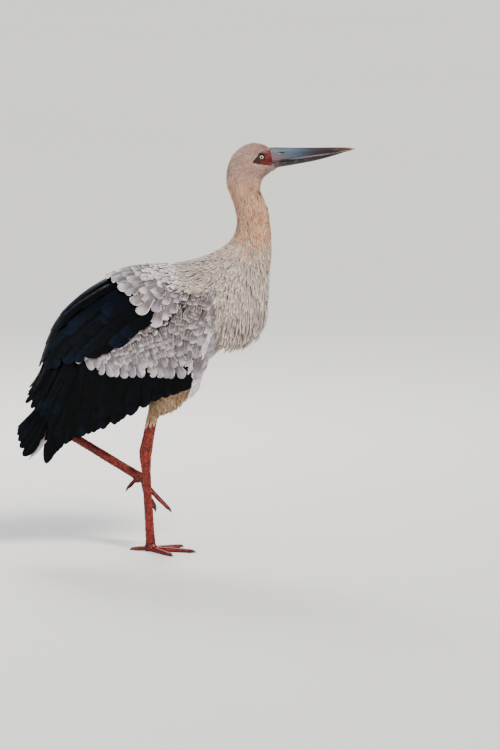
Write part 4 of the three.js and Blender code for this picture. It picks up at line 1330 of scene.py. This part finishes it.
# The ramp runs from mauve-grey at the base through slate and maroon to near black; its orange-brown end at the very tip
# is a painted highlight.
for spot, tone in (
    (0.0, "6e6064"), (0.07, "56616b"), (0.28, "45525f"), (0.44, "343a44"), (0.58, "30222a"), (0.8, "180f11"),
    (1.0, "5e3b28"),
):
    stop = stops[0] if spot == 0 else stops[-1] if spot == 1 else stops.new(spot)
    stop.position, stop.color = spot, paint(tone)
# The bill is darker below a line that climbs from the chin to the tip, with bare, horny blotches near its base.
height = finish.less(finish.z, finish.times(finish.less(finish.x, 290 * MM), 0.12))
low_part = finish.remap(finish.calc("ADD", height, finish.times(wander, 0.12)), 966 * MM, 955 * MM)
dark_reach = finish.remap(finish.x, 292 * MM, 330 * MM, 0.35, 0.92)
pink_part = finish.times(finish.remap(along, 345 * MM, 318 * MM), finish.remap(finish.z, 976 * MM, 966 * MM))
colour = finish.mix(finish.times(pink_part, 0.6), ramp.outputs["Color"], "80585f")
colour = finish.mix(finish.times(low_part, dark_reach), colour, "221417")
bare = finish.times(finish.remap(finish.noise(75.0, 3.0, 0.6), 0.56, 0.66), finish.remap(finish.x, 400 * MM, 330 * MM))
colour = finish.mix(finish.times(finish.times(bare, low_part), 0.5), colour, "94806f")
# Pale blue-grey streaks along the grain are a painted highlight.
colour = finish.mix(finish.remap(grain, 0.58, 0.78, 0.0, 0.25), colour, "9fb0be")
# The edge along the mouth is lightened with a painted highlight, and the nostril's slit is painted dark as the shade
# inside it.
seam = finish.less(finish.z, finish.times(finish.less(finish.x, 291 * MM), 0.145))
seam = finish.calc("ABSOLUTE", finish.less(seam, 957.2 * MM))
wear_and_seam_highlight = finish.times(finish.remap(seam, 1.6 * MM, 0.6 * MM), finish.remap(along, 335 * MM, 360 * MM))
wear_and_seam_highlight = finish.times(wear_and_seam_highlight, finish.remap(along, 455 * MM, 410 * MM, 0.0, 0.7))
slit = finish.away(NOSTRIL[0] * MM, NOSTRIL[1] * MM, 8 * MM, 1.5 * MM)
colour = finish.mix(wear_and_seam_highlight, colour, "a9949c")
colour = finish.mix(finish.remap(slit, 1.3, 0.6), colour, "0c0a0d")
bill_horn = finish.wear(colour, grain)
wrapped("bill_upper_horn", 190, 84, mandible(UPPER, True), bill_horn, ["bill_upper"])
wrapped("bill_lower_horn", 150, 60, mandible(LOWER, False), bill_horn, ["bill_lower"])

# The chin's feathers start on the base of the lower mandible and lie back over the throat.
CHIN_COUNT = 320
CHIN_TURN = 1.5
turn = chance.uniform(-CHIN_TURN, CHIN_TURN, CHIN_COUNT)
aside = np.abs(turn) / CHIN_TURN
reach = chance.uniform(0, 1, CHIN_COUNT) * (21 - 8 * aside) * MM
roots = mandible(LOWER, False)(reach / ((LOWER[-1][0] - LOWER[0][0]) * MM), turn)
up = np.stack([0 * turn, np.sin(turn), -np.cos(turn)], axis=-1)[:, None]
t = np.linspace(0, 1, 3)[None, :, None]
lengths = jitter(np.full(CHIN_COUNT, 12 * MM), 0.15)[:, None, None]
lift = (5.2 - 2.6 * aside[:, None, None]) * t**0.6 - 0.3
shafts = roots[:, None] + np.array([-1, 0, -0.3]) * lengths * t + up * lift * MM
widths = jitter(np.full(CHIN_COUNT, 3.0 * MM), 0.12)
soil = chance.uniform(0, 0.5, CHIN_COUNT)
roll = chance.normal(0, 0.25, CHIN_COUNT)
grow("chin_tufts", TUFT, shafts, np.repeat(up, 3, axis=1), widths, head_feather, soil, roll)

# %% [markdown]
# ## Eyes
# Each eye is a wet ball with a cream iris, a black pupil and a clear cornea that bulges a little. The rings are
# worked out from the distance to the eye's own axis, and a clear coat gives the wet shine. A rim of face skin, a
# little pointed before and behind the eye, makes its lids.

# %% Eyes
LID_RADIUS = 5.7 * MM
LID_PLACE = EYE.y + np.sqrt(EYE_RADIUS**2 - LID_RADIUS**2) + 1.0 * MM
finish = Finish("wet_eye", Roughness=0.12, Coat_Weight=1.0, Coat_Roughness=0.03, IOR=1.38)
ring = finish.calc("SQRT", finish.away(EYE.x, EYE.z))
colour = finish.mix(finish.noise(900.0), "c9b894", "f0e6cc")
colour = finish.mix(finish.remap(ring, 2.8 * MM, 2.4 * MM), colour, "050404")
colour = finish.mix(finish.remap(ring, 4.1 * MM, 4.7 * MM), colour, "1c0d0b")
eye_wet = finish.wear(colour)


def eyeball(t, turn):
    polar = t * math.pi
    radius = EYE_RADIUS + 0.5 * MM * np.exp(-((polar / 0.55) ** 2))
    ring = radius * np.sin(polar)
    y = MID + side * (EYE.y + radius * np.cos(polar))
    return np.stack([EYE.x + ring * np.cos(turn), y, EYE.z + ring * np.sin(turn)], axis=-1)


def eyelids(t, turn):
    around = t * 2 * math.pi
    reach = LID_RADIUS + 1.25 * MM * np.cos(turn) + 0.5 * MM * np.cos(2 * around)
    y = MID + side * (LID_PLACE + (1.15 * MM + 0.12 * MM * np.cos(26 * around)) * np.sin(turn))
    return np.stack([EYE.x + reach * np.cos(around), y, EYE.z + 0.92 * reach * np.sin(around)], axis=-1)


for side_name, side in SIDES.items():
    wrapped(f"eyeball_{side_name}", 24, 32, eyeball, eye_wet, [f"eye_{side_name}"])
    wrapped(f"eyelids_{side_name}", 104, 12, eyelids, face_skin)

# %% [markdown]
# ## Claws
# The claws are short and blunt for a bird, horn over the last toe bone, with a curved ridge and a flat underside. Each
# is a tube that starts inside the end of its toe and tapers down to a point.

# %% Claws
CLAW_HALF = {"inner": 4.2, "middle": 4.5, "outer": 4.2, "hind": 3.96}  # half a claw's width at its root, in mm
CLAW_DROOP = 3.0
finish = Finish("claw_horn", Roughness=0.4, Coat_Weight=0.15, Coat_Roughness=0.3)
claw_horn = finish.wear(finish.mix(finish.noise(260.0, 4.0), "1c1413", "5a443c"))


def claw_tube(side_name, toe):
    joints = toe_path(side_name, toe)
    ahead = (joints[-1] - joints[-2]).normalized()
    across = ahead.cross(UPRIGHT).normalized()
    tip, ahead, across, above = [np.array(v) for v in (joints[-1], ahead, across, across.cross(ahead))]

    def place(t, turn):
        turn = turn[..., None]
        share = (-0.55 + 1.53 * t)[..., None]
        beyond = np.clip(share, 0, 1)
        close = np.minimum(1, np.minimum(t * 30, (1 - t) * 30) ** 0.5)[..., None]
        width = (0.25 + (CLAW_HALF[toe] * 1.05 - 0.25) * (1 - beyond**1.25) ** 0.8) * close
        drop = CLAW_DROOP * beyond**1.5 - 0.9 * np.sin(beyond * math.pi)
        low = np.where(np.cos(turn) < 0, 0.72, 1.0)
        spot = tip + ahead * share * TOES[toe][1] - np.array(UPRIGHT) * drop
        spot = spot + across * np.sin(turn) * width * 0.86 + above * np.cos(turn) * width * low
        spot[..., 2] = np.maximum(spot[..., 2], 0.0)
        return spot * MM

    return place


for side_name in SIDES:
    for toe in TOES:
        claw = [f"foot_{side_name}_claw_{toe}"]
        wrapped(f"claw_{side_name}_{toe}", 18, 16, claw_tube(side_name, toe), claw_horn, claw)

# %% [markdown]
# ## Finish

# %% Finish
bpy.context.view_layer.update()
